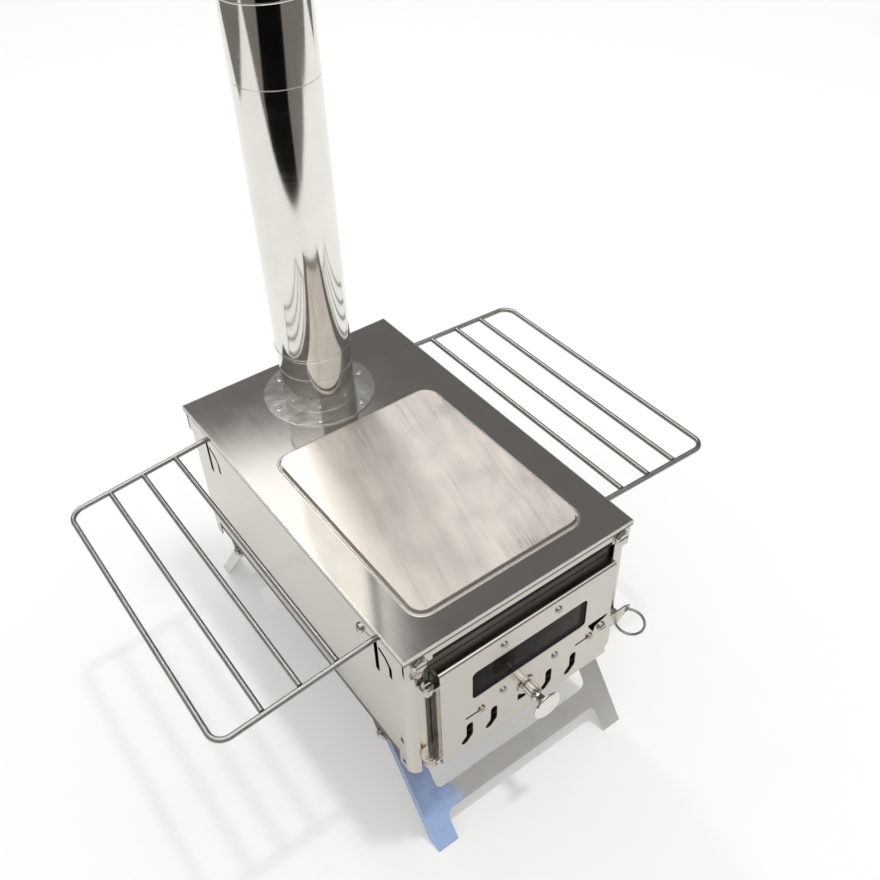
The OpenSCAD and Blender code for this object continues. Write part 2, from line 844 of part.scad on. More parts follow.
module flue_rivets() {
    color(brushed) placed() flue_rivet_places() {
        translate([0, 0, flange_t]) rotate_extrude() polygon([
            [0, 0], [rivet_head_d / 2, 0], [rivet_head_d / 2 * head_crown_share, rivet_head_h],
            [0, rivet_head_h]
        ]);
        translate([0, 0, -top_t]) cylinder(d = rivet_d, h = top_t + flange_t);
        translate([0, 0, -top_t - rivet_tail_h]) cylinder(d = rivet_head_d, h = rivet_tail_h);
    }
}

// Tab round a hinge axis, reaching back or sideways to its leaf
module hinge_tab(reach_x, reach_y) {
    difference() {
        union() {
            circle(r = hinge_r);
            if (reach_y > 0) {
                translate([-hinge_r, 0]) square([hinge_r + hinge_r, reach_y]);
            }
            if (reach_x > 0) {
                translate([0, -hinge_r]) square([reach_x, 2 * hinge_r]);
            }
        }
        circle(r = m4 / 2 + pivot_fit);
    }
}

// Fixed half of the hinge on the inner front wall
module hinge_bracket() {
    leaf_y = inner_wall_y - hinge_t;
    color(satin) placed() {
        front_sheet(leaf_y, hinge_t)
            span(hinge_x - hinge_r, hinge_x - hinge_r + hinge_leaf_w + hinge_t,
                hinge_low, hinge_top);
        for (z = [hinge_low, hinge_top - hinge_t]) {
            level_sheet(z, hinge_t) translate([hinge_x, hinge_y])
                hinge_tab(0, leaf_y - hinge_y);
        }
    }
}

// Moving half of the hinge, welded to the door's left flange
module door_hinge_leaf() {
    low = hinge_low + hinge_t + run_gap;
    high = hinge_top - hinge_t - run_gap;
    color(satin) placed() {
        side_sheet(door_left - hinge_t, hinge_t)
            span(door_y + door_bend_r, door_y + door_depth - leaf_margin, low, high);
        for (z = [low, high - hinge_t]) {
            level_sheet(z, hinge_t) intersection() {
                translate([hinge_x, hinge_y]) hinge_tab(hinge_out, 0);
                span(hinge_x - hinge_r, door_left, door_y - hinge_r, door_y + door_depth);
            }
        }
    }
}

module hinge_pivot_screws() {
    len = 2 * hinge_t + 2 * run_gap + m4_nut_h + sheet_t;
    color(screw_steel) placed() {
        translate([hinge_x, hinge_y, hinge_top]) screw(m4, len, hinge_head_d, m4_head_h);
        translate([hinge_x, hinge_y, hinge_low]) mirror([0, 0, 1])
            screw(m4, len, hinge_head_d, m4_head_h);
    }
}

module hinge_pivot_nuts() {
    reach = 2 * hinge_t + 2 * run_gap;
    color(screw_steel) placed() {
        translate([hinge_x, hinge_y, hinge_top - reach - m4_nut_h])
            nut(m4_nut_d, m4_nut_h, m4);
        translate([hinge_x, hinge_y, hinge_low + reach]) nut(m4_nut_d, m4_nut_h, m4);
    }
}

// The four leg pivots, each drawn outward along +Z from the ear's outer face
module leg_pivot_places() {
    for (side = [-1, 1]) {
        for (y = [-leg_pivot_y, leg_pivot_y]) {
            translate([side * inner_x, y, leg_z]) rotate([0, side * 90, 0]) children();
        }
    }
}

module leg_pivot_screws() {
    len = inner_x - leg_w / 2 + leg_t + run_gap + m4_nut_h + sheet_t;
    color(screw_steel) placed() leg_pivot_places() screw(m4, len, m4_head_d, m4_head_h);
}

module leg_pivot_washers() {
    color(screw_steel) placed() leg_pivot_places()
        translate([0, 0, -leg_ear_t - leg_washer_t]) difference() {
            cylinder(d = washer_d, h = leg_washer_t);
            translate([0, 0, -over])
                cylinder(d = m4 + 2 * bolt_fit, h = leg_washer_t + 2 * over);
        }
}

module leg_pivot_nuts() {
    reach = inner_x - leg_w / 2 + leg_t + run_gap;
    color(screw_steel) placed() leg_pivot_places() translate([0, 0, -reach - m4_nut_h])
        nut(m4_nut_d, m4_nut_h, m4);
}

// Folded door with its window, vents, slots and screw holes
module door_panel() {
    color(satin) placed() difference() {
        translate([door_left, 0, 0]) rotate([90, 0, 90]) linear_extrude(door_w) {
            door_section(0);
        }
        side_sheet(door_left + sheet_t, door_w - 2 * sheet_t) door_section(sheet_t);
        door_cuts();
        side_sheet(door_right - sheet_t - over, sheet_t + 2 * over) {
            low = latch_z + lever_up - lever_h * lever_neck_share;
            span(lever_y - seat_gap, lever_y + lever_t + run_gap, low - flange_slit_down,
                latch_z + lever_up + flange_slit_up);
        }
    }
}

// Section of the door in y and z, inset by the sheet: bent edges at the face, open at the back
module door_section(inset) {
    r = door_bend_r - inset;
    y0 = door_y + inset;
    y1 = door_y + door_depth + (inset > 0 ? over : 0);
    span(y0 + r, y1, door_low + inset, door_top - inset);
    span(y0, y0 + r, door_low + inset + r, door_top - inset - r);
    for (z = [door_low + inset + r, door_top - inset - r]) {
        translate([y0 + r, z]) circle(r = r);
    }
}

function across_door(share) = door_left + share * door_w;

// Everything that is cut through the door face
module door_cuts() {
    front_sheet(door_y - over, sheet_t + 2 * over) {
        round_span(window_x0, window_x0 + window_w, window_z0, window_z1, window_r);
        for (x = window_screw_x) {
            for (z = window_screw_z) {
                translate([x, z]) circle(d = m3 + 2 * bolt_fit);
            }
        }
        vents(0);
        for (share = guide_share) {
            x = across_door(share);
            run([x - shutter_travel - guide_end, guide_z], [x, guide_z], m2 + 2 * guide_fit);
        }
        translate([knob_x, knob_z]) circle(d = m4 + 2 * bolt_fit);
        translate([latch_x, latch_z]) circle(d = m4 + 2 * bolt_fit);
        latch_window();
    }
}

// Boot-shaped vents and the small middle vent, which grows by extra to the right
module vents(extra) {
    knee = vent_h * vent_knee_share;
    for (share = vent_place_share) {
        translate([across_door(share), vent_z]) {
            run([0, -vent_w / 2], [0, -knee], vent_w);
            run([0, -knee], [-vent_kick, vent_w / 2 - vent_h], vent_w);
        }
    }
    x = across_door(middle_vent_share);
    z = door_top - middle_vent_drop;
    span(x - middle_vent_w / 2, x + middle_vent_w / 2 + extra, z - middle_vent_h, z);
}

module latch_window() {
    x0 = door_right - latch_window_right - latch_window_w;
    z0 = door_top - latch_window_drop - latch_window_h;
    polygon([for (p = latch_window_share) [x0 + p[0] * latch_window_w,
        z0 + p[1] * latch_window_h]]);
}

module window_glass() {
    b = glass_border;
    color(dark_glass) placed() front_sheet(glass_y, glass_t)
        span(window_x0 - b, window_x0 + window_w + b, window_z0 - b, window_z1 + b);
}

// Plate that clamps the glass from behind, with tabs for the lower screws
module glass_retainer() {
    b = retainer_border;
    color(satin) placed() front_sheet(retainer_y, sheet_t) difference() {
        union() {
            span(window_x0 - b, window_x0 + window_w + b, window_z0 - retainer_low,
                window_screw_z[0] + retainer_tab_w / 2 - sheet_t);
            for (x = window_screw_x) {
                span(x - retainer_tab_w / 2, x + retainer_tab_w / 2,
                    window_screw_z[1] - retainer_tab_w / 2 + sheet_t, window_z0);
            }
        }
        round_span(window_x0, window_x0 + window_w, window_z0, window_z1, window_r);
        for (x = window_screw_x) {
            for (z = window_screw_z) {
                translate([x, z]) circle(d = m3 + 2 * bolt_fit);
            }
        }
    }
}

module window_screws() {
    len = 2 * sheet_t + glass_t + m3_nut_h + seat_gap;
    color(screw_steel) placed() for (x = window_screw_x) {
        for (z = window_screw_z) {
            face_front(x, door_y, z) screw(m3, len, m3_head_d, m3_head_h);
        }
    }
}

module window_nuts() {
    y = retainer_y + sheet_t + m3_nut_h;
    color(screw_steel) placed() for (x = window_screw_x) {
        for (z = window_screw_z) {
            face_front(x, y, z) nut(m3_nut_d, m3_nut_h, m3);
        }
    }
}

// Knob: fluted barrel, narrow neck and a flared disc, on a stud through the door
module door_knob() {
    r = knob_barrel_d / 2;
    neck_r = r * knob_neck_share;
    base = knob_washer_t;
    barrel_share = 0.5;
    neck_share = 0.58;
    flare_share = 0.74;
    flute_r = knob_barrel_d * flute_d_share / 2;
    barrel_end = base + (knob_len - base) * barrel_share;
    color(mirror_steel) placed() face_front(knob_x, door_y, knob_z) {
        difference() {
            rotate_extrude() polygon([
                [0, base], [neck_r, base], [r, base + (r - neck_r)],
                [r, barrel_end], [neck_r, base + (knob_len - base) * neck_share],
                [neck_r, base + (knob_len - base) * flare_share],
                [knob_d / 2 - knob_disc_t / 2, knob_len - knob_disc_t],
                [knob_d / 2, knob_len - knob_disc_t], [knob_d / 2, knob_len - knob_disc_t / 2],
                [knob_d / 2 - knob_disc_t / 2, knob_len], [0, knob_len]
            ]);
            for (i = [0:knob_flutes - 1]) {
                rotate(i * 360 / knob_flutes) translate([r, 0, base + over])
                    cylinder(r = flute_r, h = barrel_end - base, $fn = 24);
            }
        }
        translate([0, 0, -sheet_t - m4_nut_h - seat_gap])
            cylinder(d = m4, h = base + sheet_t + m4_nut_h + seat_gap);
    }
}

module knob_washer() {
    color(screw_steel) placed() face_front(knob_x, door_y, knob_z) difference() {
        cylinder(d = knob_washer_d, h = knob_washer_t);
        translate([0, 0, -over]) cylinder(d = m4 + 2 * bolt_fit, h = knob_washer_t + 2 * over);
    }
}

module knob_nut() {
    color(screw_steel) placed() face_front(knob_x, door_y + sheet_t + m4_nut_h, knob_z)
        nut(m4_nut_d, m4_nut_h, m4);
}

module latch_screw() {
    len = 2 * sheet_t + lever_t + seat_gap + m4_nut_h;
    color(screw_steel) placed() face_front(latch_x, door_y, latch_z)
        screw(m4, len, m4_head_d, m4_head_h);
}

module latch_nut() {
    color(screw_steel) placed()
        face_front(latch_x, lever_y + lever_t + run_gap + m4_nut_h, latch_z)
        nut(m4_nut_d, m4_nut_h, m4);
}

// Sliding plate behind the vents, with an ear at each guide screw
module air_shutter() {
    x0 = door_left + shutter_left;
    x1 = door_right - shutter_right;
    z1 = door_top - shutter_drop;
    z0 = door_top - shutter_low;
    notch_r = m4_nut_d / 2 + knob_nut_gap;
    color(satin) placed() front_sheet(shutter_y, shutter_t) difference() {
        union() {
            span(x0, x1, z0, z1);
            for (share = guide_share) {
                x = across_door(share);
                span(x - shutter_ear_w / 2, x + shutter_ear_w / 2, z1, guide_z + shutter_ear_h);
            }
        }
        vents(shutter_travel);
        for (share = guide_share) {
            translate([across_door(share), guide_z]) circle(d = m2 + 2 * guide_fit);
        }
        span(knob_x - notch_r, knob_x + shutter_travel + notch_r, knob_z - notch_r, z1 + over);
    }
}

module shutter_guide_screws() {
    len = sheet_t + seat_gap + shutter_t + m2_nut_h;
    color(screw_steel) placed() for (share = guide_share) {
        face_front(across_door(share), door_y - seat_gap, guide_z)
            screw(m2, len + seat_gap, m3_head_d, m3_head_h);
    }
}

module shutter_guide_nuts() {
    y = shutter_y + shutter_t + m2_nut_h;
    color(screw_steel) placed() for (share = guide_share) {
        face_front(across_door(share), y, guide_z) nut(m2_nut_d, m2_nut_h, m2);
    }
}

// Latch lever: hub, arm, and a tab with a lip that drops behind the column
module latch_lever() {
    tab_x = tab_in_share * lever_len;
    tab_y1 = -wall_y + sheet_t + tab_reach;
    color(satin) placed() translate([latch_x, 0, latch_z]) {
        front_sheet(lever_y, lever_t) difference() {
            union() {
                circle(r = lever_hub_r);
                polygon([for (p = lever_outline_share) [p[0] * lever_len,
                    lever_up - lever_h + p[1] * lever_h]]);
            }
            circle(r = m4 / 2 + pivot_fit);
            translate([lever_len - ring_hole_in, lever_up - ring_hole_down])
                circle(d = ring_hole_d);
        }
        level_sheet(lever_up - lever_t, lever_t)
            span(tab_x, tab_x + tab_w, lever_y + lever_t, tab_y1);
        front_sheet(tab_y1 - lever_t, lever_t)
            span(tab_x, tab_x + tab_w, lever_up - lever_t - lip_h, lever_up - lever_t);
    }
}

// Pull ring through the lever's hole, hanging in front of the corner column
module latch_ring() {
    color(wire_steel) placed()
        translate([latch_x + lever_len - ring_hole_in, lever_y + lever_t / 2,
            latch_z + lever_up - ring_hole_down])
        rotate([-ring_lean, 0, 0]) rotate([0, 0, ring_yaw]) translate([0, 0, -ring_r])
        rotate([0, 90, 0]) rotate_extrude($fn = 72) translate([ring_r, 0])
        circle(d = ring_wire, $fn = 24);
}

// Rack wire: arms, outer corners and outer bar, drooping from the swing axis along +X,
// with an upright hook at each inner end
module rack_frame(droop) {
    r = rack_wire / 2;
    reach = wall_x + top_t + rack_out - rack_axis_x;
    stub = rack_axis_x - inner_x + run_gap + r;
    inner = stub / cos(droop);
    rotate([0, droop, 0]) {
        for (end = [0, 1]) mirror([0, end, 0]) {
            translate([reach - rack_r, rack_arm_y, 0]) rotate([0, -90, 0])
                cylinder(r = r, h = inner + reach - rack_r);
            translate([-inner, rack_arm_y, 0]) rack_hook(droop, inner);
            translate([reach - rack_r, rack_arm_y - rack_r, 0])
                rotate_extrude(angle = 90, $fn = 72) translate([rack_r, 0])
                    circle(r = r, $fn = 48);
        }
        translate([reach, rack_r - rack_arm_y, 0]) rotate([-90, 0, 0])
            cylinder(r = r, h = 2 * (rack_arm_y - rack_r));
    }
}

// Bend that turns a rack arm upright inside the wall, and the upright end of the wire
module rack_hook(droop, inner) {
    r = rack_wire / 2;
    rotate(180) sphere(r = r + bend_swell);
    rotate([0, -droop, 0]) cylinder(r = r, h = rack_hook_up - inner * sin(droop));
}

// Straight bars welded between the two arms of a rack
module rack_bars(droop) {
    r = rack_wire / 2;
    first = wall_x + top_t + rack_out * rack_first_share - rack_axis_x;
    length = 2 * (rack_arm_y - r);
    rotate([0, droop, 0]) for (i = [0:rack_bars - 1]) {
        translate([first + i * rack_pitch, -length / 2, 0]) rotate([-90, 0, 0])
            cylinder(r = r, h = length);
    }
}

module right_rack_place() {
    placed() translate([rack_axis_x, 0, rack_z]) children();
}

module left_rack_place() {
    placed() translate([-rack_axis_x, 0, rack_z]) mirror([1, 0, 0]) children();
}

module left_rack_frame() {
    color(wire_steel) left_rack_place() rack_frame(rack_droop_left);
}

module left_rack_bars() {
    color(wire_steel) left_rack_place() rack_bars(rack_droop_left);
}

module right_rack_frame() {
    color(wire_steel) right_rack_place() rack_frame(rack_droop_right);
}

module right_rack_bars() {
    color(wire_steel) right_rack_place() rack_bars(rack_droop_right);
}

// Leg frame for the front: two posts, a crossbar and side flanges, cut level at the ground
module leg_frame() {
    post_in = leg_w / 2 - post_w;
    bar_low = -leg_foot + crossbar_up;
    bar_high = bar_low + crossbar_h;
    difference() {
        translate([0, -leg_pivot_y, leg_z]) rotate([-leg_splay, 0, 0]) difference() {
            union() {
                front_sheet(-leg_face, leg_t) difference() {
                    span(-leg_w / 2, leg_w / 2, -leg_reach, leg_top);
                    leg_window(bar_high, leg_top + over + leg_corner_r, post_in);
                    leg_window(-leg_reach - over - leg_corner_r, bar_low, post_in);
                }
                for (x = [-leg_w / 2, leg_w / 2 - leg_t]) {
                    side_sheet(x, leg_t) {
                        span(-leg_face, leg_flange - leg_face, -leg_reach, 0);
                        span(-leg_face, 0, 0, leg_top);
                        circle(r = leg_pivot_r);
                    }
                }
            }
            side_sheet(-wall_x, 2 * wall_x) circle(r = m4 / 2 + pivot_fit);
        }
        translate([-wall_x, -body_d, -body_top]) cube([2 * wall_x, 2 * body_d, body_top]);
    }
}

// Window in the leg plate between its posts, with rounded corners
module leg_window(low, high, post_in) {
    round_span(-post_in, post_in, low, high, leg_corner_r);
}

module front_leg_frame() {
    color(leg_steel) placed() leg_frame();
}

module rear_leg_frame() {
    color(leg_steel) placed() mirror([0, 1, 0]) leg_frame();
}

// Flue section: plain lower end, and a spigot at the top for the next section
module pipe_section(bead) {
    r = pipe_od / 2;
    body_len = pipe_pitch - seat_gap;
    rotate_extrude($fn = 96) polygon(concat(
        [[r - pipe_t, 0], [r, 0]],
        bead ? [[r, spigot_len - pipe_t], [r + pipe_t / 2, spigot_len],
            [r, spigot_len + pipe_t]] : [],
        [[r, body_len], [spigot_r, body_len], [spigot_r, pipe_len],
            [spigot_r - pipe_t, pipe_len], [spigot_r - pipe_t, body_len - pipe_t],
            [r - pipe_t, body_len - 2 * pipe_t]]
    ));
}

module chimney_section_1() {
    color(mirror_steel) placed() translate([0, flue_y, pipe_z]) pipe_section(false);
}

module chimney_section_2() {
    color(mirror_steel) placed() translate([0, flue_y, pipe_z + pipe_pitch]) pipe_section(true);
}

// Loose grate: slotted plate on two turned-down sides
module fire_grate() {
    z0 = floor_z + seat_gap;
    pitch = grate_d / (grate_slots + 1);
    slot_x = grate_w / 2 - grate_h;
    color(grate_steel) placed() {
        level_sheet(z0 + grate_h - sheet_t, sheet_t) difference() {
            span(-grate_w / 2, grate_w / 2, -grate_d / 2, grate_d / 2);
            for (i = [1:grate_slots]) {
                y = i * pitch - grate_d / 2;
                run([-slot_x, y], [-grate_h / 2, y], grate_slot_w);
                run([grate_h / 2, y], [slot_x, y], grate_slot_w);
            }
        }
        for (x = [-grate_w / 2, grate_w / 2 - sheet_t]) {
            side_sheet(x, sheet_t)
                span(-grate_d / 2, grate_d / 2, z0, z0 + grate_h - sheet_t);
        }
    }
}

top_plate();
hot_plate();
left_side_panel();
right_side_panel();
front_frame();
inner_front_wall();
rear_panel();
bottom_pan();
top_stiffener();
smoke_baffle();
corner_screws();
corner_screw_nuts();
side_screws();
side_screw_nuts();
flue_collar();
flue_rivets();
hinge_bracket();
hinge_pivot_screws();
hinge_pivot_nuts();
leg_pivot_screws();
leg_pivot_washers();
leg_pivot_nuts();
door_panel();
door_hinge_leaf();
window_glass();
glass_retainer();
window_screws();
window_nuts();
door_knob();
knob_washer();
knob_nut();
latch_screw();
latch_nut();
air_shutter();
shutter_guide_screws();
shutter_guide_nuts();
latch_lever();
latch_ring();
left_rack_frame();
left_rack_bars();
right_rack_frame();
right_rack_bars();
front_leg_frame();
rear_leg_frame();
chimney_section_1();
chimney_section_2();
fire_grate();
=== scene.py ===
"""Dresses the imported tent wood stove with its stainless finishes, and sets up its studio."""

import math

import bmesh
import bpy
from bpy.props import FloatProperty, FloatVectorProperty, PointerProperty
from mathutils import Matrix, Vector


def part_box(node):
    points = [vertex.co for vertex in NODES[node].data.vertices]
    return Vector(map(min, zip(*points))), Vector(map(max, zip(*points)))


bl_info = {
    "name": "Tent Wood Stove",
    "version": (1, 0, 0),
    "blender": (4, 5, 0),
    "location": "View3D > Sidebar > Stove",
    "description": "Finishes, small details and studio for a folding stainless tent stove",
    "category": "Object",
}

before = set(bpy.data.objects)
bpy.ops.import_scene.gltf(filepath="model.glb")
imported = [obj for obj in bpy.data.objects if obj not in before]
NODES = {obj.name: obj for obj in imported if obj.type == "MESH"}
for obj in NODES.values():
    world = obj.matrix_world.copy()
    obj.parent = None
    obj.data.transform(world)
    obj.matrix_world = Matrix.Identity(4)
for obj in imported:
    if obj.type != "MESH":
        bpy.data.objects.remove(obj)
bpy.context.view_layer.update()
MM = 0.001
FLUE_Y = sum(corner.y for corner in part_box("flue_collar")) / 2
SHEET = 1.0 * MM
# How far a box of duller steel with painted shade reaches into the sheet round it, from its
# inner face
OVERLAP = 0.15 * MM
# Depth behind the front columns' sheet that stays bright
COLUMN_DEPTH = 6 * MM
# Depth behind the door box's rear edge that gets the mill finish and painted shade
DOOR_DEPTH = 9 * MM
# Height over the top plate below which the collar is satin
FLANGE_HEIGHT = 3 * MM

# Roughness of each finish. The renderer's denoiser draws contour lines where a face's
# roughness crosses 0.274, so each face keeps to one side of it and only edges cross.
PIPE_ROUGH = 0.06
WALL_ROUGH = 0.18
TOP_ROUGH = 0.09
MILL_ROUGH = 0.42
INSIDE_ROUGH = 0.5
FOLD_ROUGH = 0.42
COLLAR_ROUGH = 0.08
RIVET_ROUGH = 0.14
KNOB_ROUGH = 0.09
WIRE_ROUGH = 0.38
SCREW_ROUGH = 0.19
# Share of a colour that is left in a line of painted shade: under the rim, along the
# crease, on the top's rim and on the cooking plate's edge
RIM_LEFT, CREASE_LEFT, EDGE_LEFT = 0.35, 0.82, 0.3
# Height of the painted shade along the crease
CREASE_HEIGHT = 0.5 * MM
# Share of the cooking plate's height, from below, that gets painted shade
PLATE_SHADE = 0.6
# Cosines of a rounded edge's turn, between which it gets a painted highlight, or gets rougher
EDGE_HIGHLIGHT = (0.98, 0.8)
DULLED = (0.9999, 0.995)
# Part of a face's normal along the brush lines, over which only their ends show
LINE_ENDS = 0.7
# Wiping marks on a pipe: width and height. Bends in it: width and length
PIPE_MARKS = (90 * MM, 1.4 * MM)
PIPE_BENDS = (16 * MM, 120 * MM)
# Heights on a front leg between which the film goes from pale to painted shade, deepest higher
# up toward the body
FILM_SHADE_HEIGHTS = (15 * MM, 80 * MM)
# Streaks on the cooking plate, partly wiping marks and partly painted shade: width and length
STREAKS_WIPED_AND_SHADED = (14 * MM, 90 * MM)
# Scratches on it: axis, width, length, turn, and the levels of noise that show one
SCRATCHES = (
    ("Y", 0.6 * MM, 9 * MM, 0.9, 0.66, 0.7),
    ("X", 0.5 * MM, 7 * MM, 0.4, 0.68, 0.72),
)

# The photograph's camera
FRAME_PX = 880
FOCAL_PX = 967.842
SENSOR_MM = 36

# White that the camera sees in the floor near the stove, and that mirrors see in it
FLOOR_LIFT, FLOOR_MIRRORED = 0.3, 0.12
# Distances between which the paper fades into the white background
FADE_START, FADE_END = 1.6, 5.0
# Plain light on the stove from all round
DAYLIGHT = 0.76
# Levels of the room that mirrors see: ceiling near the horizon and higher up, what is
# overhead, the window in front with what is below it, and the wall behind on the left
CEILING_LOW, CEILING_HIGH = 0.38, 0.17
OVERHEAD = 1.6
WINDOW, WINDOW_SILL = 1.5, 0.03
WALL, WALL_TURN = 1.4, math.radians(30)
# Sines of the height angles between which each of them begins
CEILING_RISE = (0.05, 0.4)
OVERHEAD_RISE = (0.86, 0.97)
WINDOW_RISE = (0.67, 0.74)
WALL_RISE = (0.63, 0.69)
# Parts of a direction that face away from the door, and to the wall's side, between
# which the window and the wall begin
WINDOW_SIDE = (0.05, -0.45)
WALL_SIDE = (-0.025, 0.035)
# Point on the stove that the lamps aim at
LAMP_AIM = Vector((-0.086, -0.036, 0.225))


def firebox_room():
    """Corners of the room inside the firebox walls, where the steel gets the rougher mill
    finish and painted shade.
    """
    low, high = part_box("left_side_panel")[0].copy(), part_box("right_side_panel")[1].copy()
    shell = SHEET - OVERLAP
    low += Vector((shell, SHEET + COLUMN_DEPTH, shell))
    high -= Vector((shell, shell, 0))
    high.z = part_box("top_plate")[1].z - SHEET
    return low, high


FIREBOX = firebox_room()


def linear(hex_colour):
    """Turns an sRGB hex colour into linear RGBA."""
    channels = [int(hex_colour[i:i + 2], 16) / 255 for i in (1, 3, 5)]
    return tuple(
        c / 12.92 if c <= 0.04045 else ((c + 0.055) / 1.055) ** 2.4 for c in channels
    ) + (1.0,)


def colour(name, description, hex_colour):
    """Colour setting with its sRGB default."""
    return FloatVectorProperty(
        name=name, description=description, default=linear(hex_colour), size=4,
        subtype="COLOR", min=0, max=1)


def length(name, description, default):
    """Length setting in metres."""
    return FloatProperty(
        name=name, description=description, default=default, min=0, precision=5,
        unit="LENGTH")


class StoveFinishes(bpy.types.PropertyGroup):
    """Colours of the metals, the film and the glass."""

    sheet: colour("Sheet", "Stainless sheet of the walls and the door", "#CAC5BE")
    top: colour("Top plate", "Smoother stainless sheet of the top", "#D9D5D0")
    hot_plate: colour("Hot plate", "Pressed cooking plate", "#F0E8E1")
    mirror: colour("Flue", "Polished pipes, collar and knob", "#E9E7E2")
    wire: colour("Wire", "Drawn wire of the racks and the ring", "#A3A29F")
    strip: colour("Leg strip", "Flat strip of the legs", "#E2E0DC")
    film: colour("Film", "Protective film left on a front leg", "#A4BCE6")
    screws: colour("Screws", "Screws, nuts and washers", "#CFCAC3")
    # Its dark tone is partly the mill finish and partly painted shade on the inner faces of
    # the firebox and the door
    inside: colour("Inside", "Mill finish of the grate, baffle and inner wall", "#6E6A65")
    glass: colour("Window", "Heat-resistant window glass", "#4A4741")


class StoveDetails(bpy.types.PropertyGroup):
    """Sizes of the small details that the finishes draw."""

    edge_round: length("Edge round", "Radius of a deburred sheet edge", 0.35 * MM)
    fold: length("Fold", "Outer radius of the top's folded edge", 1.4 * MM)
    brush_width: length("Brush width", "Width of one brush line", 0.9 * MM)
    brush_length: length("Brush length", "Length of one brush line", 70 * MM)
    blotch: length("Blotch", "Width of a cloudy patch", 38 * MM)
    film_reach: length("Film reach", "How far the film reaches from the leg's outer edge",
                       44 * MM)
    shade: length("Shade", "Height of the dark line under the top's rim", 2.2 * MM)
    crease: length("Crease", "Drop from the top to the crease along a side", 24 * MM)
    # Painted shade: below this drop the bar over the door is painted near black
    gap_top: length("Gap top", "Drop from the top to the dark gap over the door", 12 * MM)
    # The turned streaks are partly wiping marks and partly painted shade along the pipe's
    # shadow fan
    wiping: FloatProperty(
        name="Wiping", description="Turn of the wiping streaks on the hot plate",
        default=math.radians(13), subtype="ANGLE")
    glass_edge: length("Glass edge", "Width of glass behind the door's sheet", 6 * MM)
    # Painted shade: the dark band on the glass's bottom and right stands in for the shade of
    # the door's reveal
    reveal: length("Reveal", "Width of the dark band round the window glass", 5.5 * MM)


class StoveStudio(bpy.types.PropertyGroup):
    """Camera and floor."""

    camera_place: FloatVectorProperty(
        name="Camera place", description="Where the camera stands",
        default=(-0.281722, -0.460434, 0.73114), subtype="TRANSLATION", unit="LENGTH")
    azimuth: FloatProperty(
        name="Azimuth", description="Camera's turn round the stove",
        default=math.radians(-35.208), subtype="ANGLE")
    elevation: FloatProperty(
        name="Elevation", description="Camera's height angle",
        default=math.radians(42.025), subtype="ANGLE")
    roll: FloatProperty(
        name="Roll", description="Camera's roll", default=math.radians(-1.948),
        subtype="ANGLE")
    lens: FloatProperty(
        name="Lens", description="Focal length on a 36 mm sensor",
        default=FOCAL_PX / FRAME_PX * SENSOR_MM, unit="CAMERA")
    floor_size: length("Floor size", "Side of the floor", 40.0)


def add(tree, kind, inputs=None, **settings):
    """Adds a shader node with its settings, values and links."""
    node = tree.nodes.new("ShaderNode" + kind)
    for key, value in settings.items():
        setattr(node, key, value)
    for key, value in (inputs or {}).items():
        if isinstance(value, bpy.types.NodeSocket):
            tree.links.new(value, node.inputs[key])
        else:
            node.inputs[key].default_value = value
    return node


def new_material(name):
    """Empty material with its output node."""
    material = bpy.data.materials.new(name)
    material.use_nodes = True
    material.node_tree.nodes.clear()
    return material, material.node_tree


def streaks(tree, along, width, reach, turn=0.0):
    """Lines that run along one axis, turned about Z, from 0 to 1."""
    scale = [1 / width] * 3
    scale["XYZ".index(along)] = 1 / reach
    place = add(tree, "TexCoord")
    turned = add(tree, "VectorRotate", {"Vector": place.outputs["Object"], "Angle": turn},
                 rotation_type="Z_AXIS")
    lines = add(tree, "Mapping", {"Vector": turned.outputs["Vector"], "Scale": scale})
    noise = add(tree, "TexNoise", {
        "Vector": lines.outputs["Vector"], "Scale": 1.0, "Detail": 3.0, "Roughness": 0.65})
    # The lines' ends would look like dots, so faces that show them get an even tone
    faces = add(tree, "SeparateXYZ", {"Vector": place.outputs["Normal"]})
    facing = add(tree, "Math", {0: faces.outputs[along]}, operation="ABSOLUTE")
    ends = summed(tree, facing.outputs["Value"], LINE_ENDS, "GREATER_THAN")
    return mixed(tree, ends, noise.outputs["Fac"], 0.5, "FLOAT")


def grain(tree, along, details, turn=0.0):
    """Brush lines that run along one axis, from 0 to 1."""
    return streaks(tree, along, details.brush_width, details.brush_length, turn)


def cloud(tree, width, detail=3.0):
    """Soft patches of a given width, from 0 to 1."""
    place = add(tree, "TexCoord")
    return add(tree, "TexNoise", {
        "Vector": place.outputs["Object"], "Scale": 1 / width, "Detail": detail,
        "Roughness": 0.55}).outputs["Fac"]


def drawn_out(tree, across, upright, detail):
    """Noise of one size across and another along Z, from 0 to 1."""
    place = add(tree, "TexCoord")
    scaled = add(tree, "Mapping", {
        "Vector": place.outputs["Object"], "Scale": (1 / across, 1 / across, 1 / upright)})
    return add(tree, "TexNoise", {
        "Vector": scaled.outputs["Vector"], "Scale": 1.0, "Detail": detail}).outputs["Fac"]


def ranged(tree, value, low, high, start=0.3, end=0.7, curve="LINEAR"):
    """Maps the middle of a pattern, or another range, to a range of values."""
    return add(tree, "MapRange", {
        "Value": value, "From Min": start, "From Max": end, "To Min": low,
        "To Max": high}, interpolation_type=curve).outputs["Result"]


def eased(tree, value, low, high, start, end):
    """Maps one range to another, with a soft start and end."""
    return ranged(tree, value, low, high, start, end, "SMOOTHSTEP")


def mixed(tree, factor, a, b, kind="RGBA", **settings):
    """Mix of two colours, or of two values of another kind."""
    return add(tree, "Mix", {"Factor": factor, "A": a, "B": b}, data_type=kind,
               **settings).outputs["Result"]


def rounded(tree, radius):
    """Normal that is rounded over a sheet's edges."""
    return add(tree, "Bevel", {"Radius": radius}, samples=6).outputs["Normal"]


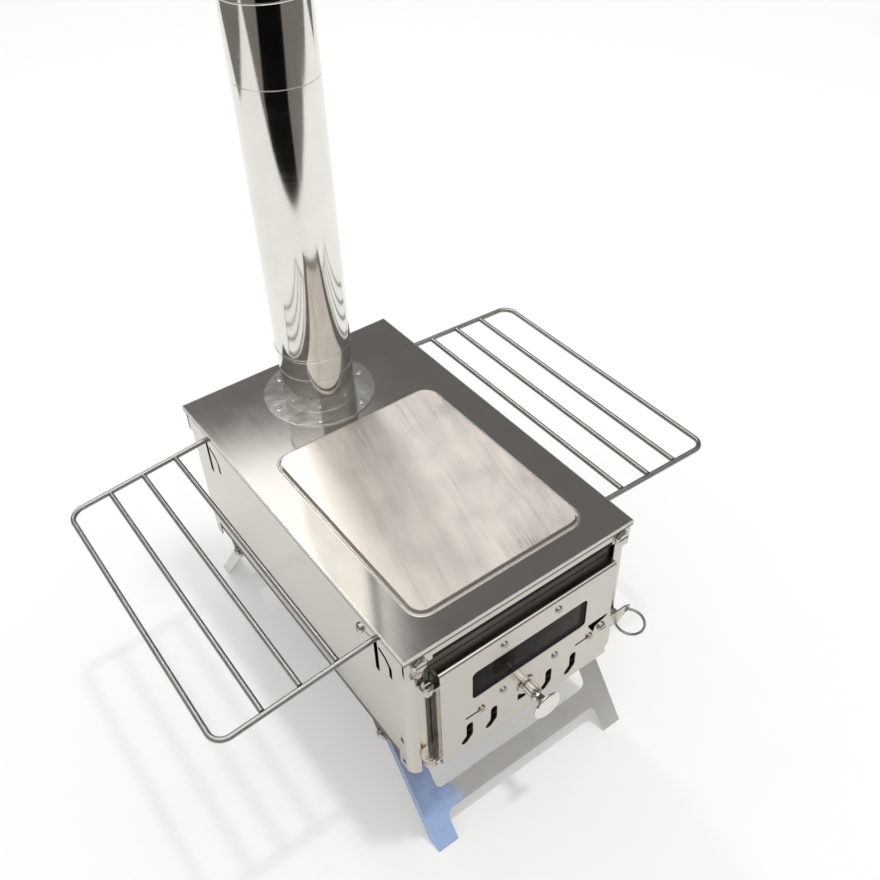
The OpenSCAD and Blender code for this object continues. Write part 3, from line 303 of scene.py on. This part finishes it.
def turned_away(tree, normal, start, end):
    """How far a rounded normal is turned between two cosines, from 0 to 1."""
    flat = add(tree, "NewGeometry")
    turn = add(tree, "VectorMath", {0: normal, 1: flat.outputs["Normal"]},
               operation="DOT_PRODUCT")
    return ranged(tree, turn.outputs["Value"], 0.0, 1.0, start, end)


def edge_highlighted(tree, body, base, gain, normal):
    """Colour with a painted highlight along the rounded edges."""
    bright = tuple(min(1.0, c * gain) for c in base[:3]) + (1.0,)
    return mixed(tree, turned_away(tree, normal, *EDGE_HIGHLIGHT), body, bright)


def tinted(tree, base, amount, fac):
    """Colour that goes from a darker tone of the base to the base itself."""
    darker = tuple(c * (1 - amount) for c in base[:3]) + (1.0,)
    return mixed(tree, fac, darker, tuple(base))


def summed(tree, a, b, operation="ADD"):
    """Sum of two values, or another operation on them."""
    return add(tree, "Math", {0: a, 1: b}, operation=operation).outputs["Value"]


def seen_plainly(tree, path):
    """1 for what the camera sees, straight or through glass, and 0 for the rest."""
    return summed(tree, path.outputs["Is Camera Ray"],
                  path.outputs["Is Transmission Ray"], "MAXIMUM")


def inside(tree, low, high):
    """1 within a box of the stove and 0 outside it."""
    place = add(tree, "TexCoord")
    at = add(tree, "SeparateXYZ", {"Vector": place.outputs["Object"]})
    within = [
        add(tree, "Math", {0: at.outputs[axis], 1: (a + b) / 2, 2: (b - a) / 2},
            operation="COMPARE").outputs["Value"]
        for axis, a, b in zip("XYZ", low, high)]
    return summed(tree, summed(tree, within[0], within[1], "MULTIPLY"), within[2],
                  "MULTIPLY")


def shaded(tree, base, low, high, left):
    """Colour with a band of painted shade between two heights, where only part of it is left.
    """
    place = add(tree, "TexCoord")
    at = add(tree, "SeparateXYZ", {"Vector": place.outputs["Object"]})
    band = add(tree, "Math", {0: at.outputs["Z"], 1: (low + high) / 2, 2: (high - low) / 2},
               operation="COMPARE")
    dark = mixed(tree, 1.0, base, (left, left, left, 1.0), blend_type="MULTIPLY")
    return mixed(tree, band.outputs["Value"], base, dark)


def finish_metal(tree, base, rough, normal, dull=None, inner=None):
    """Metal surface: the metal's IOR stays at its default.

    Faces inside the box get the darker, rougher mill finish, partly as painted shade.
    """
    if dull:
        within = inside(tree, *dull)
        base = mixed(tree, within, base, tuple(inner))
        rough = mixed(tree, within, rough, INSIDE_ROUGH, "FLOAT")
    metal = add(tree, "BsdfPrincipled", {
        "Base Color": base, "Roughness": rough, "Normal": normal, "Metallic": 1.0})
    add(tree, "OutputMaterial", {"Surface": metal.outputs["BSDF"]})
    return metal


def used_and_shaded(tree, skin, shine, rough, turn, wipe_shade_by):
    """Colour and roughness with the wide streaks and short scratches of pans and wiping; the
    colour's dark streaks are partly painted shade along the pipe's shadow fan.
    """
    wiped_and_shaded = streaks(tree, "Y", *STREAKS_WIPED_AND_SHADED, turn)
    first, second = (
        ranged(tree, streaks(tree, along, width, reach, slant), 0.0, 1.0, start, end)
        for along, width, reach, slant, start, end in SCRATCHES)
    scratched = summed(tree, first, second, "MAXIMUM")
    shine = summed(tree, shine, ranged(tree, wiped_and_shaded, -0.1 * rough, 0.1 * rough))
    shine = summed(tree, shine, summed(tree, scratched, -0.3 * rough, "MULTIPLY"))
    # Dark streaks: partly wiping marks, partly painted shade along the pipe's shadow fan
    streaky = mixed(tree, ranged(tree, wiped_and_shaded, 0.0, 1.0, 0.35, 0.6),
                    (1 - wipe_shade_by,) * 3 + (1.0,), (1, 1, 1, 1))
    return mixed(tree, 1.0, skin, streaky, blend_type="MULTIPLY"), shine


def brushed_sheet(name, base, along, rough, details, depth=0.02, blotches=0.10, wave=0.0,
                  dull=None, inner=None, fold=None, shade_bands=(), turn=0.0, wipe_shade_by=0.0):
    """Cold-rolled stainless sheet, brushed along one axis.

    The eye sees soft mirror images drawn out across the brush lines, cloudy patches
    from handling, and bright lines along the deburred cut edges, from their rounded
    normals and a painted highlight. Real brush lines are 0.05 mm wide and are drawn
    coarser, so that they show. The depth of the lines and the height of the sheet's
    waves are in millimetres.
    """
    material, tree = new_material(name)
    lines = grain(tree, along, details, turn)
    patches = cloud(tree, details.blotch)
    normal = rounded(tree, fold or details.edge_round)
    tone = summed(tree, ranged(tree, lines, 0.35, 0.75), ranged(tree, patches, 0.0, 0.35))
    # Painted highlight along the rounded edges
    skin = edge_highlighted(tree, tinted(tree, base, blotches, tone), base, 1.12, normal)
    shine = summed(tree, ranged(tree, lines, rough * 0.85, rough * 1.2),
                   ranged(tree, patches, -0.12 * rough, 0.22 * rough))
    # A folded or deburred edge is duller than the sheet, so its bright line is soft
    shine = mixed(tree, turned_away(tree, normal, *DULLED), shine, FOLD_ROUGH, "FLOAT")
    # Each band of painted shade
    for low, high, left in shade_bands:
        skin = shaded(tree, skin, low, high, left)
    if wipe_shade_by:
        skin, shine = used_and_shaded(tree, skin, shine, rough, turn, wipe_shade_by)
    relief = add(tree, "Bump", {
        "Strength": 1.0, "Distance": depth * MM, "Height": lines, "Normal": normal})
    surface = relief.outputs["Normal"]
    if wave:
        # Thin sheet is never quite flat, so mirror images bend a little
        dents = cloud(tree, 60 * MM, 1.0)
        surface = add(tree, "Bump", {
            "Strength": 1.0, "Distance": wave * MM, "Height": dents,
            "Normal": surface}).outputs["Normal"]
    finish_metal(tree, skin, shine, surface, dull, inner)
    return material


def polished_flue(name, base, rough=PIPE_ROUGH, satin_below=None):
    """Rolled stainless foil, mirror polished.

    The eye sees clear mirror images that bend where the thin foil was rolled, and
    a faint haze of wiping marks round the pipe.
    """
    material, tree = new_material(name)
    marks = drawn_out(tree, *PIPE_MARKS, 2.0)
    bends = drawn_out(tree, *PIPE_BENDS, 1.5)
    patches = cloud(tree, 30 * MM)
    normal = rounded(tree, 0.3 * MM)
    body = tinted(tree, base, 0.10, ranged(tree, patches, 0.2, 1.0))
    # Painted highlight along the rounded edges
    skin = edge_highlighted(tree, body, base, 1.1, normal)
    shine = summed(tree, ranged(tree, marks, rough * 0.7, rough * 1.5),
                   ranged(tree, patches, 0.0, 0.03))
    if satin_below:
        place = add(tree, "TexCoord")
        at = add(tree, "SeparateXYZ", {"Vector": place.outputs["Object"]})
        flange = summed(tree, at.outputs["Z"], satin_below, "LESS_THAN")
        shine = mixed(tree, flange, shine, ranged(tree, patches, 0.11, 0.17), "FLOAT")
    soft = add(tree, "Bump", {
        "Strength": 1.0, "Distance": 0.16 * MM, "Height": bends, "Normal": normal})
    finish_metal(tree, skin, shine, soft.outputs["Normal"])
    return material


def drawn_wire(name, base, rough=WIRE_ROUGH):
    """Drawn stainless wire: satin, with a fine bloom and a few duller patches."""
    material, tree = new_material(name)
    patches = cloud(tree, 9 * MM)
    fine = cloud(tree, 1.2 * MM, 2.0)
    body = tinted(tree, base, 0.18, ranged(tree, patches, 0.1, 1.0))
    shine = summed(tree, ranged(tree, patches, rough * 0.85, rough * 1.2),
                   ranged(tree, fine, -0.01, 0.03))
    relief = add(tree, "Bump", {"Strength": 0.4, "Distance": 0.02 * MM, "Height": fine})
    finish_metal(tree, body, shine, relief.outputs["Normal"])
    return material


def turned_screw(name, base, rough=SCREW_ROUGH):
    """Cold-headed stainless screw: satin, with darker patches at random and a painted
    highlight on the rims.
    """
    material, tree = new_material(name)
    patches = cloud(tree, 2.5 * MM)
    normal = rounded(tree, 0.25 * MM)
    body = tinted(tree, base, 0.3, ranged(tree, patches, 0.2, 1.0))
    # Painted highlight along the rounded edges
    skin = edge_highlighted(tree, body, base, 1.2, normal)
    shine = ranged(tree, patches, rough * 0.8, rough * 1.35)
    relief = add(tree, "Bump", {
        "Strength": 0.5, "Distance": 0.03 * MM, "Height": patches, "Normal": normal})
    finish_metal(tree, skin, shine, relief.outputs["Normal"])
    return material


def filmed_strip(name, base, film, details, filmed):
    """Satin stainless strip of a leg, with protective film left on one leg of the front.

    The eye sees a grey satin strip whose brush lines run across the stove, and on the
    left front leg a lilac plastic film that thins out along the crossbar.
    """
    material, tree = new_material(name)
    lines = grain(tree, "X", details)
    patches = cloud(tree, 20 * MM)
    normal = rounded(tree, details.edge_round)
    tone = summed(tree, ranged(tree, lines, 0.35, 0.7), ranged(tree, patches, 0.0, 0.35))
    body = tinted(tree, base, 0.08, tone)
    shine = ranged(tree, patches, 0.19, 0.26)
    relief = add(tree, "Bump", {
        "Strength": 1.0, "Distance": 0.003 * MM, "Height": lines, "Normal": normal})
    metallic = 1.0
    if filmed:
        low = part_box("front_leg_frame")[0]
        place = add(tree, "TexCoord")
        at = add(tree, "SeparateXYZ", {"Vector": place.outputs["Object"]})
        torn = summed(tree, at.outputs["X"], ranged(tree, patches, -9 * MM, 9 * MM))
        cover = eased(tree, torn, 0.0, 1.0, low.x + details.film_reach,
                      low.x + 0.5 * details.film_reach)
        # Painted light on the film: it is painted palest at the foot and deeper up toward the
        # body as painted shade, and random wrinkles get painted highlights
        rise = ranged(tree, at.outputs["Z"], 1.0, 0.0, *FILM_SHADE_HEIGHTS)
        film_light_and_shade = summed(tree, rise, ranged(tree, cloud(tree, 11 * MM, 4.0), -0.15, 0.2))
        skin = mixed(tree, film_light_and_shade, linear("#7D86A6"), tuple(film))
        body = mixed(tree, cover, body, skin)
        metallic = ranged(tree, cover, 1.0, 0.25, 0.0, 1.0)
    metal = finish_metal(tree, body, shine, relief.outputs["Normal"])
    if filmed:
        tree.links.new(metallic, metal.inputs["Metallic"])
    return material


def window_pane(name, base, clear):
    """Ceramic window glass: dark, smooth, with a clearer middle that is hazy and darker
    towards the left, and painted shade round it for the door's reveal.
    """
    material, tree = new_material(name)
    haze = cloud(tree, 22 * MM)
    place = add(tree, "TexCoord")
    at = add(tree, "SeparateXYZ", {"Vector": place.outputs["Object"]})
    rightward = ranged(tree, at.outputs["X"], 0.1, 1.0, clear[0].x, clear[1].x)
    hazy = summed(tree, rightward, ranged(tree, haze, 0.6, 1.0), "MULTIPLY")
    middle = summed(tree, inside(tree, *clear), hazy, "MULTIPLY")
    # Painted shade: outside the clear middle the glass is near black
    tint = mixed(tree, middle, linear("#050505"), tuple(base))
    pane = add(tree, "BsdfPrincipled", {
        "Base Color": tint, "Roughness": ranged(tree, haze, 0.02, 0.07), "IOR": 1.1,
        "Transmission Weight": 0.25})
    add(tree, "OutputMaterial", {"Surface": pane.outputs["BSDF"]})
    return material


def heading(turn, rise):
    """Direction at an azimuth from +Y toward +X and a height angle, in degrees."""
    a, e = math.radians(turn), math.radians(rise)
    return Vector((math.sin(a) * math.cos(e), math.cos(a) * math.cos(e), math.sin(e)))


def card_material(name, hex_colour):
    """Flat tone that a mirror sees, whatever the light."""
    material, tree = new_material(name)
    tone = add(tree, "Emission", {"Color": linear(hex_colour), "Strength": 1.0})
    add(tree, "OutputMaterial", {"Surface": tone.outputs["Emission"]})
    return material


def card(name, corners, material, height=1 * MM):
    """Flat card on the floor that only mirrors see.

    Each corner is an azimuth from -Y toward +X in degrees and a distance from the flue.
    """
    made = bmesh.new()
    verts = []
    for turn, away in corners:
        a = math.radians(turn)
        verts.append(made.verts.new((
            math.sin(a) * away, FLUE_Y - math.cos(a) * away, height)))
    made.faces.new(verts)
    mesh = bpy.data.meshes.new(name)
    made.to_mesh(mesh)
    made.free()
    mesh.materials.append(material)
    made_card = bpy.data.objects.new(name, mesh)
    bpy.context.scene.collection.objects.link(made_card)
    for ray in ("camera", "diffuse", "transmission", "volume_scatter", "shadow"):
        setattr(made_card, "visible_" + ray, False)


def paint(material, *names):
    """Gives CAD nodes a finish."""
    for name in names:
        if name not in NODES:
            raise RuntimeError(f"the frame has no node named {name}")
        slots = NODES[name].data.materials
        slots.clear()
        slots.append(material)


class STOVE_OT_walls(bpy.types.Operator):
    """Finishes the side, front and rear walls of the firebox"""

    bl_idname = "stove.walls"
    bl_label = "Firebox Walls"

    def execute(self, context):
        looks, details = context.scene.stove_finishes, context.scene.stove_details
        rim, top = (corner.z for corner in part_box("top_plate"))
        crease = top - details.crease
        # Inner faces of the walls get the darker mill finish and painted shade
        side = brushed_sheet(
            "Stainless sheet, brushed lengthwise", looks.sheet, "Y", WALL_ROUGH, details,
            depth=0.0012, blotches=0.03, wave=0.06, dull=FIREBOX, inner=looks.inside,
            # Painted shade under the top's rim and along the crease
            shade_bands=((rim - details.shade, rim, RIM_LEFT),
                   (crease - CREASE_HEIGHT, crease, CREASE_LEFT)))
        front = brushed_sheet(
            "Stainless sheet, brushed crosswise", looks.sheet, "X", WALL_ROUGH, details,
            depth=0.003, blotches=0.04, wave=0.06, dull=FIREBOX, inner=looks.inside)
        # The folded bar's lower part lies in the gap over the door, and is painted near black
        # there as painted shade
        low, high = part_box("front_frame")
        low.x, high.x = (corner.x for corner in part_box("door_panel"))
        gap = (low, Vector((high.x, high.y, top - details.gap_top)))
        bar = brushed_sheet(
            "Stainless bar, brushed, in shadow over the door", looks.sheet, "X",
            WALL_ROUGH, details, depth=0.003, blotches=0.04, dull=gap,
            inner=linear("#0D0C0B"))
        paint(side, "left_side_panel", "right_side_panel", "bottom_pan", "top_stiffener")
        paint(front, "rear_panel", "hinge_bracket")
        paint(bar, "front_frame")
        return {"FINISHED"}


class STOVE_OT_top(bpy.types.Operator):
    """Finishes the top plate and the pressed cooking plate"""

    bl_idname = "stove.top"
    bl_label = "Top and Hot Plate"

    def execute(self, context):
        looks, details = context.scene.stove_finishes, context.scene.stove_details
        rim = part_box("top_plate")[0].z
        low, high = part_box("hot_plate")
        # The top's underside inside the firebox gets the darker mill finish and painted shade
        top = brushed_sheet(
            "Stainless sheet, smooth rolled", looks.top, "Y", TOP_ROUGH, details,
            depth=0.003, blotches=0.12, wave=0.10, dull=FIREBOX, inner=looks.inside,
            fold=details.fold,
            # Painted shade on the top's rim
            shade_bands=((rim - 0.1 * MM, rim + details.shade, EDGE_LEFT),))
        # Dark streaks on the cooking plate are partly wiping marks and partly painted shade
        # along the pipe's shadow fan
        hot = brushed_sheet(
            "Stainless plate, pressed and brushed", looks.hot_plate, "Y", MILL_ROUGH,
            details, depth=0.006, blotches=0.06, wave=0.35, turn=details.wiping,
            wipe_shade_by=0.05,
            # Painted shade on the cooking plate's edge
            shade_bands=((low.z, low.z + PLATE_SHADE * (high.z - low.z), EDGE_LEFT),))
        paint(top, "top_plate")
        paint(hot, "hot_plate")
        return {"FINISHED"}


class STOVE_OT_flue(bpy.types.Operator):
    """Finishes the flue collar, its rivets and the pipe sections"""

    bl_idname = "stove.flue"
    bl_label = "Flue"

    def execute(self, context):
        looks = context.scene.stove_finishes
        foil = polished_flue("Stainless foil, rolled and mirror polished", looks.mirror)
        spun = polished_flue(
            "Stainless collar, spun: polished tube and satin flange", looks.mirror,
            COLLAR_ROUGH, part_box("top_plate")[1].z + FLANGE_HEIGHT)
        rivet = turned_screw(
            "Stainless rivet, domed and polished", looks.mirror, RIVET_ROUGH)
        paint(foil, "chimney_section_1", "chimney_section_2")
        paint(spun, "flue_collar")
        paint(rivet, "flue_rivets")
        return {"FINISHED"}


class STOVE_OT_door(bpy.types.Operator):
    """Finishes the door, its glass, its hinge leaf and the air shutter"""

    bl_idname = "stove.door"
    bl_label = "Door and Shutter"

    def execute(self, context):
        looks, details = context.scene.stove_finishes, context.scene.stove_details
        low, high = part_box("door_panel")
        shell = Vector((1, 1, 1)) * (SHEET - OVERLAP)
        behind = Vector((0, DOOR_DEPTH, 0))
        # Inner faces of the door get the darker mill finish and painted shade
        sheet = brushed_sheet(
            "Stainless door sheet, bent and brushed", looks.sheet, "X", WALL_ROUGH,
            details, depth=0.004, blotches=0.06, wave=0.05,
            dull=(low + shell, high - shell + behind), inner=looks.inside)
        mill = brushed_sheet("Stainless sheet, mill finish", looks.inside, "X",
                             MILL_ROUGH, details, blotches=0.25)
        paint(sheet, "door_panel", "door_hinge_leaf", "latch_lever")
        paint(mill, "glass_retainer", "air_shutter")
        low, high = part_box("window_glass")
        edge = details.glass_edge
        low += Vector((edge, -edge, edge + details.reveal))
        high -= Vector((edge + details.reveal, -edge, edge))
        paint(window_pane("Ceramic glass, rolled and fired", looks.glass, (low, high)),
              "window_glass")
        return {"FINISHED"}


class STOVE_OT_knob(bpy.types.Operator):
    """Finishes the turned door knob"""

    bl_idname = "stove.knob"
    bl_label = "Knob"

    def execute(self, context):
        looks = context.scene.stove_finishes
        paint(polished_flue("Stainless bar, turned and polished", looks.mirror, KNOB_ROUGH),
              "door_knob")
        return {"FINISHED"}


class STOVE_OT_wires(bpy.types.Operator):
    """Finishes the side racks and the latch ring"""

    bl_idname = "stove.wires"
    bl_label = "Racks and Ring"

    def execute(self, context):
        looks = context.scene.stove_finishes
        wire = drawn_wire("Stainless wire, drawn and bent", looks.wire)
        paint(wire, "left_rack_frame", "left_rack_bars", "right_rack_frame",
              "right_rack_bars", "latch_ring")
        return {"FINISHED"}


class STOVE_OT_legs(bpy.types.Operator):
    """Finishes the folding legs, with film left on one of them"""

    bl_idname = "stove.legs"
    bl_label = "Folding Legs"

    def execute(self, context):
        looks, details = context.scene.stove_finishes, context.scene.stove_details
        paint(filmed_strip("Stainless strip, satin with peeling film", looks.strip,
                           looks.film, details, True), "front_leg_frame")
        paint(filmed_strip("Stainless strip, satin", looks.strip, looks.film, details,
                           False), "rear_leg_frame")
        return {"FINISHED"}


class STOVE_OT_fasteners(bpy.types.Operator):
    """Finishes the screws, nuts and washers"""

    bl_idname = "stove.fasteners"
    bl_label = "Fasteners"

    def execute(self, context):
        looks = context.scene.stove_finishes
        kinds = ("screw", "screws", "nut", "nuts", "washer", "washers")
        paint(turned_screw("Stainless screw, cold headed", looks.screws),
              *[name for name in NODES if name.split("_")[-1] in kinds])
        return {"FINISHED"}


class STOVE_OT_inside(bpy.types.Operator):
    """Finishes the grate and the smoke baffle"""

    bl_idname = "stove.inside"
    bl_label = "Grate and Baffle"

    def execute(self, context):
        looks, details = context.scene.stove_finishes, context.scene.stove_details
        mill = brushed_sheet("Stainless plate, mill finish", looks.inside, "X",
                             MILL_ROUGH, details, blotches=0.3)
        paint(mill, "fire_grate", "smoke_baffle", "inner_front_wall")
        return {"FINISHED"}


class STOVE_OT_stage(bpy.types.Operator):
    """Sets up the floor, the lamps, the background and the camera"""

    bl_idname = "stove.stage"
    bl_label = "Stage and Camera"

    def execute(self, context):
        scene = context.scene
        studio = scene.stove_studio
        scene.view_settings.view_transform = "Standard"
        self.floor(scene, studio)
        self.background(scene)
        self.lamps(scene)
        self.cards()
        self.camera(scene, studio)
        return {"FINISHED"}

    def floor(self, scene, studio):
        """Pale floor, nearly white to the camera and a little lifted in mirrors."""
        material, tree = new_material("Paper sweep, matt white")
        fibre = cloud(tree, 40 * MM)
        paper = add(tree, "BsdfPrincipled", {
            "Base Color": tinted(tree, linear("#F8F8F7"), 0.01, fibre), "Roughness": 0.9})
        glow = add(tree, "Emission", {"Color": linear("#FCFCFA"), "Strength": 1.0})
        path = add(tree, "LightPath")
        seen = seen_plainly(tree, path)
        # Far from the stove the paper fades into the white background
        place = add(tree, "TexCoord")
        away = add(tree, "VectorMath", {0: place.outputs["Object"]}, operation="LENGTH")
        lift = eased(tree, away.outputs["Value"], FLOOR_LIFT, 1.0, FADE_START, FADE_END)
        share = summed(tree, seen, lift, "MULTIPLY")
        mirrored = summed(tree, path.outputs["Is Glossy Ray"], FLOOR_MIRRORED,
                          "MULTIPLY")
        blend = add(tree, "MixShader", {
            0: summed(tree, share, mirrored), 1: paper.outputs["BSDF"],
            2: glow.outputs["Emission"]})
        add(tree, "OutputMaterial", {"Surface": blend.outputs["Shader"]})
        made = bmesh.new()
        bmesh.ops.create_grid(made, x_segments=1, y_segments=1, size=studio.floor_size / 2)
        mesh = bpy.data.meshes.new("floor")
        made.to_mesh(mesh)
        made.free()
        mesh.materials.append(material)
        floor = bpy.data.objects.new("floor", mesh)
        scene.collection.objects.link(floor)

    def background(self, scene):
        """White for the camera, plain soft light on the stove, dim ceiling in mirrors."""
        world = bpy.data.worlds.new("Studio")
        world.use_nodes = True
        tree = world.node_tree
        tree.nodes.clear()
        path = add(tree, "LightPath")
        place = add(tree, "TexCoord")
        # Z is the sine of the height angle, and -Y is toward the door
        up = add(tree, "SeparateXYZ", {"Vector": place.outputs["Generated"]})
        ceiling = eased(tree, up.outputs["Z"], CEILING_LOW, CEILING_HIGH, *CEILING_RISE)
        overhead = eased(tree, up.outputs["Z"], 0.0, OVERHEAD, *OVERHEAD_RISE)
        forward = eased(tree, up.outputs["Y"], 0.0, WINDOW, *WINDOW_SIDE)
        raised = ranged(tree, up.outputs["Z"], WINDOW_SILL, 1.0, *WINDOW_RISE)
        window = summed(tree, forward, raised, "MULTIPLY")
        # A bright wall up to the left of a line behind the stove, seen in the top plate
        upper = eased(tree, up.outputs["Z"], 0.0, WALL, *WALL_RISE)
        leftward = summed(
            tree, summed(tree, up.outputs["X"], -math.cos(WALL_TURN), "MULTIPLY"),
            summed(tree, up.outputs["Y"], math.sin(WALL_TURN), "MULTIPLY"))
        beyond = eased(tree, leftward, 0.0, 1.0, *WALL_SIDE)
        wall = summed(tree, upper, beyond, "MULTIPLY")
        bright = summed(tree, window, wall, "MAXIMUM")
        mirrored = summed(tree, summed(tree, ceiling, overhead), bright)
        level = mixed(tree, path.outputs["Is Glossy Ray"], DAYLIGHT, mirrored, "FLOAT")
        level = mixed(tree, seen_plainly(tree, path), level, 1.0, "FLOAT")
        sky = add(tree, "Background", {"Color": linear("#FFFEFC"), "Strength": level})
        add(tree, "OutputWorld", {"Surface": sky.outputs["Background"]})
        scene.world = world

    def lamps(self, scene):
        """One lamp behind the pipe that the cooking plate mirrors, and one overhead."""
        # Name, azimuth, height angle, distance, width, height, level, seen by mirrors
        boxes = (
            ("lamp_mirrored", 13, 51, 2.4, 0.24, 0.24, 34.0, True),
            ("lamp_above", 120, 80, 5.0, 0.32, 0.32, 245.0, False),
        )
        for name, turn, rise, away, wide, high, level, mirrored in boxes:
            light = bpy.data.lights.new(name, "AREA")
            light.shape = "RECTANGLE"
            light.size, light.size_y = wide, high
            # An area lamp's brightness is its power over pi times its area
            light.energy = level * math.pi * wide * high
            lamp = bpy.data.objects.new(name, light)
            aim = heading(turn, rise)
            lamp.matrix_world = Matrix.Translation(LAMP_AIM + aim * away) @ \
                aim.to_track_quat("Z", "Y").to_matrix().to_4x4()
            lamp.visible_glossy = mirrored
            scene.collection.objects.link(lamp)

    def cards(self):
        """Dark things round the paper sheet that only mirrors see."""
        room = card_material("Floorboards beyond the sheet, matt", "#7B7672")
        card("card_front", (
            (-85, 1.8), (-60, 1.0), (-42, 0.85), (-25, 0.8), (-6, 0.85), (14, 0.97),
            (38, 1.25), (73, 1.75), (73, 4), (20, 5), (-40, 5), (-85, 4)), room)
        card("card_back", (
            (-90, 1.8), (-112, 1.4), (-137, 1.22), (-162, 1.8), (-150, 4), (-100, 4)), room)
        card("card_right", ((84, 1.8), (102, 1.46), (110, 1.8), (100, 4)), room)
        card("card_stand", (
            (-50, 1.8), (-62, 1.24), (-60, 1.0), (-42, 0.86), (-25, 0.81), (-8, 0.88),
            (-5, 1.2), (8, 1.8), (8, 5), (-20, 5), (-50, 4)),
            card_material("Dark cloth, matt", "#0B0B0B"), 2 * MM)

    def camera(self, scene, studio):
        """Camera at the photograph's place, with its axes from three angles."""
        a, e, r = studio.azimuth, studio.elevation, studio.roll
        back = Vector((math.sin(a) * math.cos(e), -math.cos(a) * math.cos(e), math.sin(e)))
        right = (-back).cross(Vector((0, 0, 1))).normalized()
        up = right.cross(-back)
        axes = Matrix((
            math.cos(r) * right + math.sin(r) * up,
            math.cos(r) * up - math.sin(r) * right,
            back)).transposed()
        data = bpy.data.cameras.new("camera")
        data.lens, data.sensor_width = studio.lens, SENSOR_MM
        camera = bpy.data.objects.new("camera", data)
        camera.matrix_world = Matrix.Translation(studio.camera_place) @ axes.to_4x4()
        scene.collection.objects.link(camera)
        scene.camera = camera


class STOVE_PT_panel(bpy.types.Panel):
    """Lists the stove's operators"""

    bl_idname = "STOVE_PT_panel"
    bl_label = "Tent Wood Stove"
    bl_space_type = "VIEW_3D"
    bl_region_type = "UI"
    bl_category = "Stove"

    def draw(self, context):
        for operator in OPERATORS:
            self.layout.operator(operator.bl_idname)


OPERATORS = (
    STOVE_OT_walls, STOVE_OT_top, STOVE_OT_flue, STOVE_OT_door, STOVE_OT_knob,
    STOVE_OT_wires, STOVE_OT_legs, STOVE_OT_fasteners, STOVE_OT_inside, STOVE_OT_stage,
)
CLASSES = (StoveFinishes, StoveDetails, StoveStudio) + OPERATORS + (STOVE_PT_panel,)


def register():
    """Registers the classes and the scene's settings."""
    for cls in CLASSES:
        bpy.utils.register_class(cls)
    bpy.types.Scene.stove_finishes = PointerProperty(type=StoveFinishes)
    bpy.types.Scene.stove_details = PointerProperty(type=StoveDetails)
    bpy.types.Scene.stove_studio = PointerProperty(type=StoveStudio)


def unregister():
    """Removes what register adds."""
    del bpy.types.Scene.stove_studio
    del bpy.types.Scene.stove_details
    del bpy.types.Scene.stove_finishes
    for cls in reversed(CLASSES):
        bpy.utils.unregister_class(cls)


def main():
    """Runs every operator."""
    register()
    bpy.ops.stove.walls()
    bpy.ops.stove.top()
    bpy.ops.stove.flue()
    bpy.ops.stove.door()
    bpy.ops.stove.knob()
    bpy.ops.stove.wires()
    bpy.ops.stove.legs()
    bpy.ops.stove.fasteners()
    bpy.ops.stove.inside()
    bpy.ops.stove.stage()


if __name__ == "__main__":
    main()
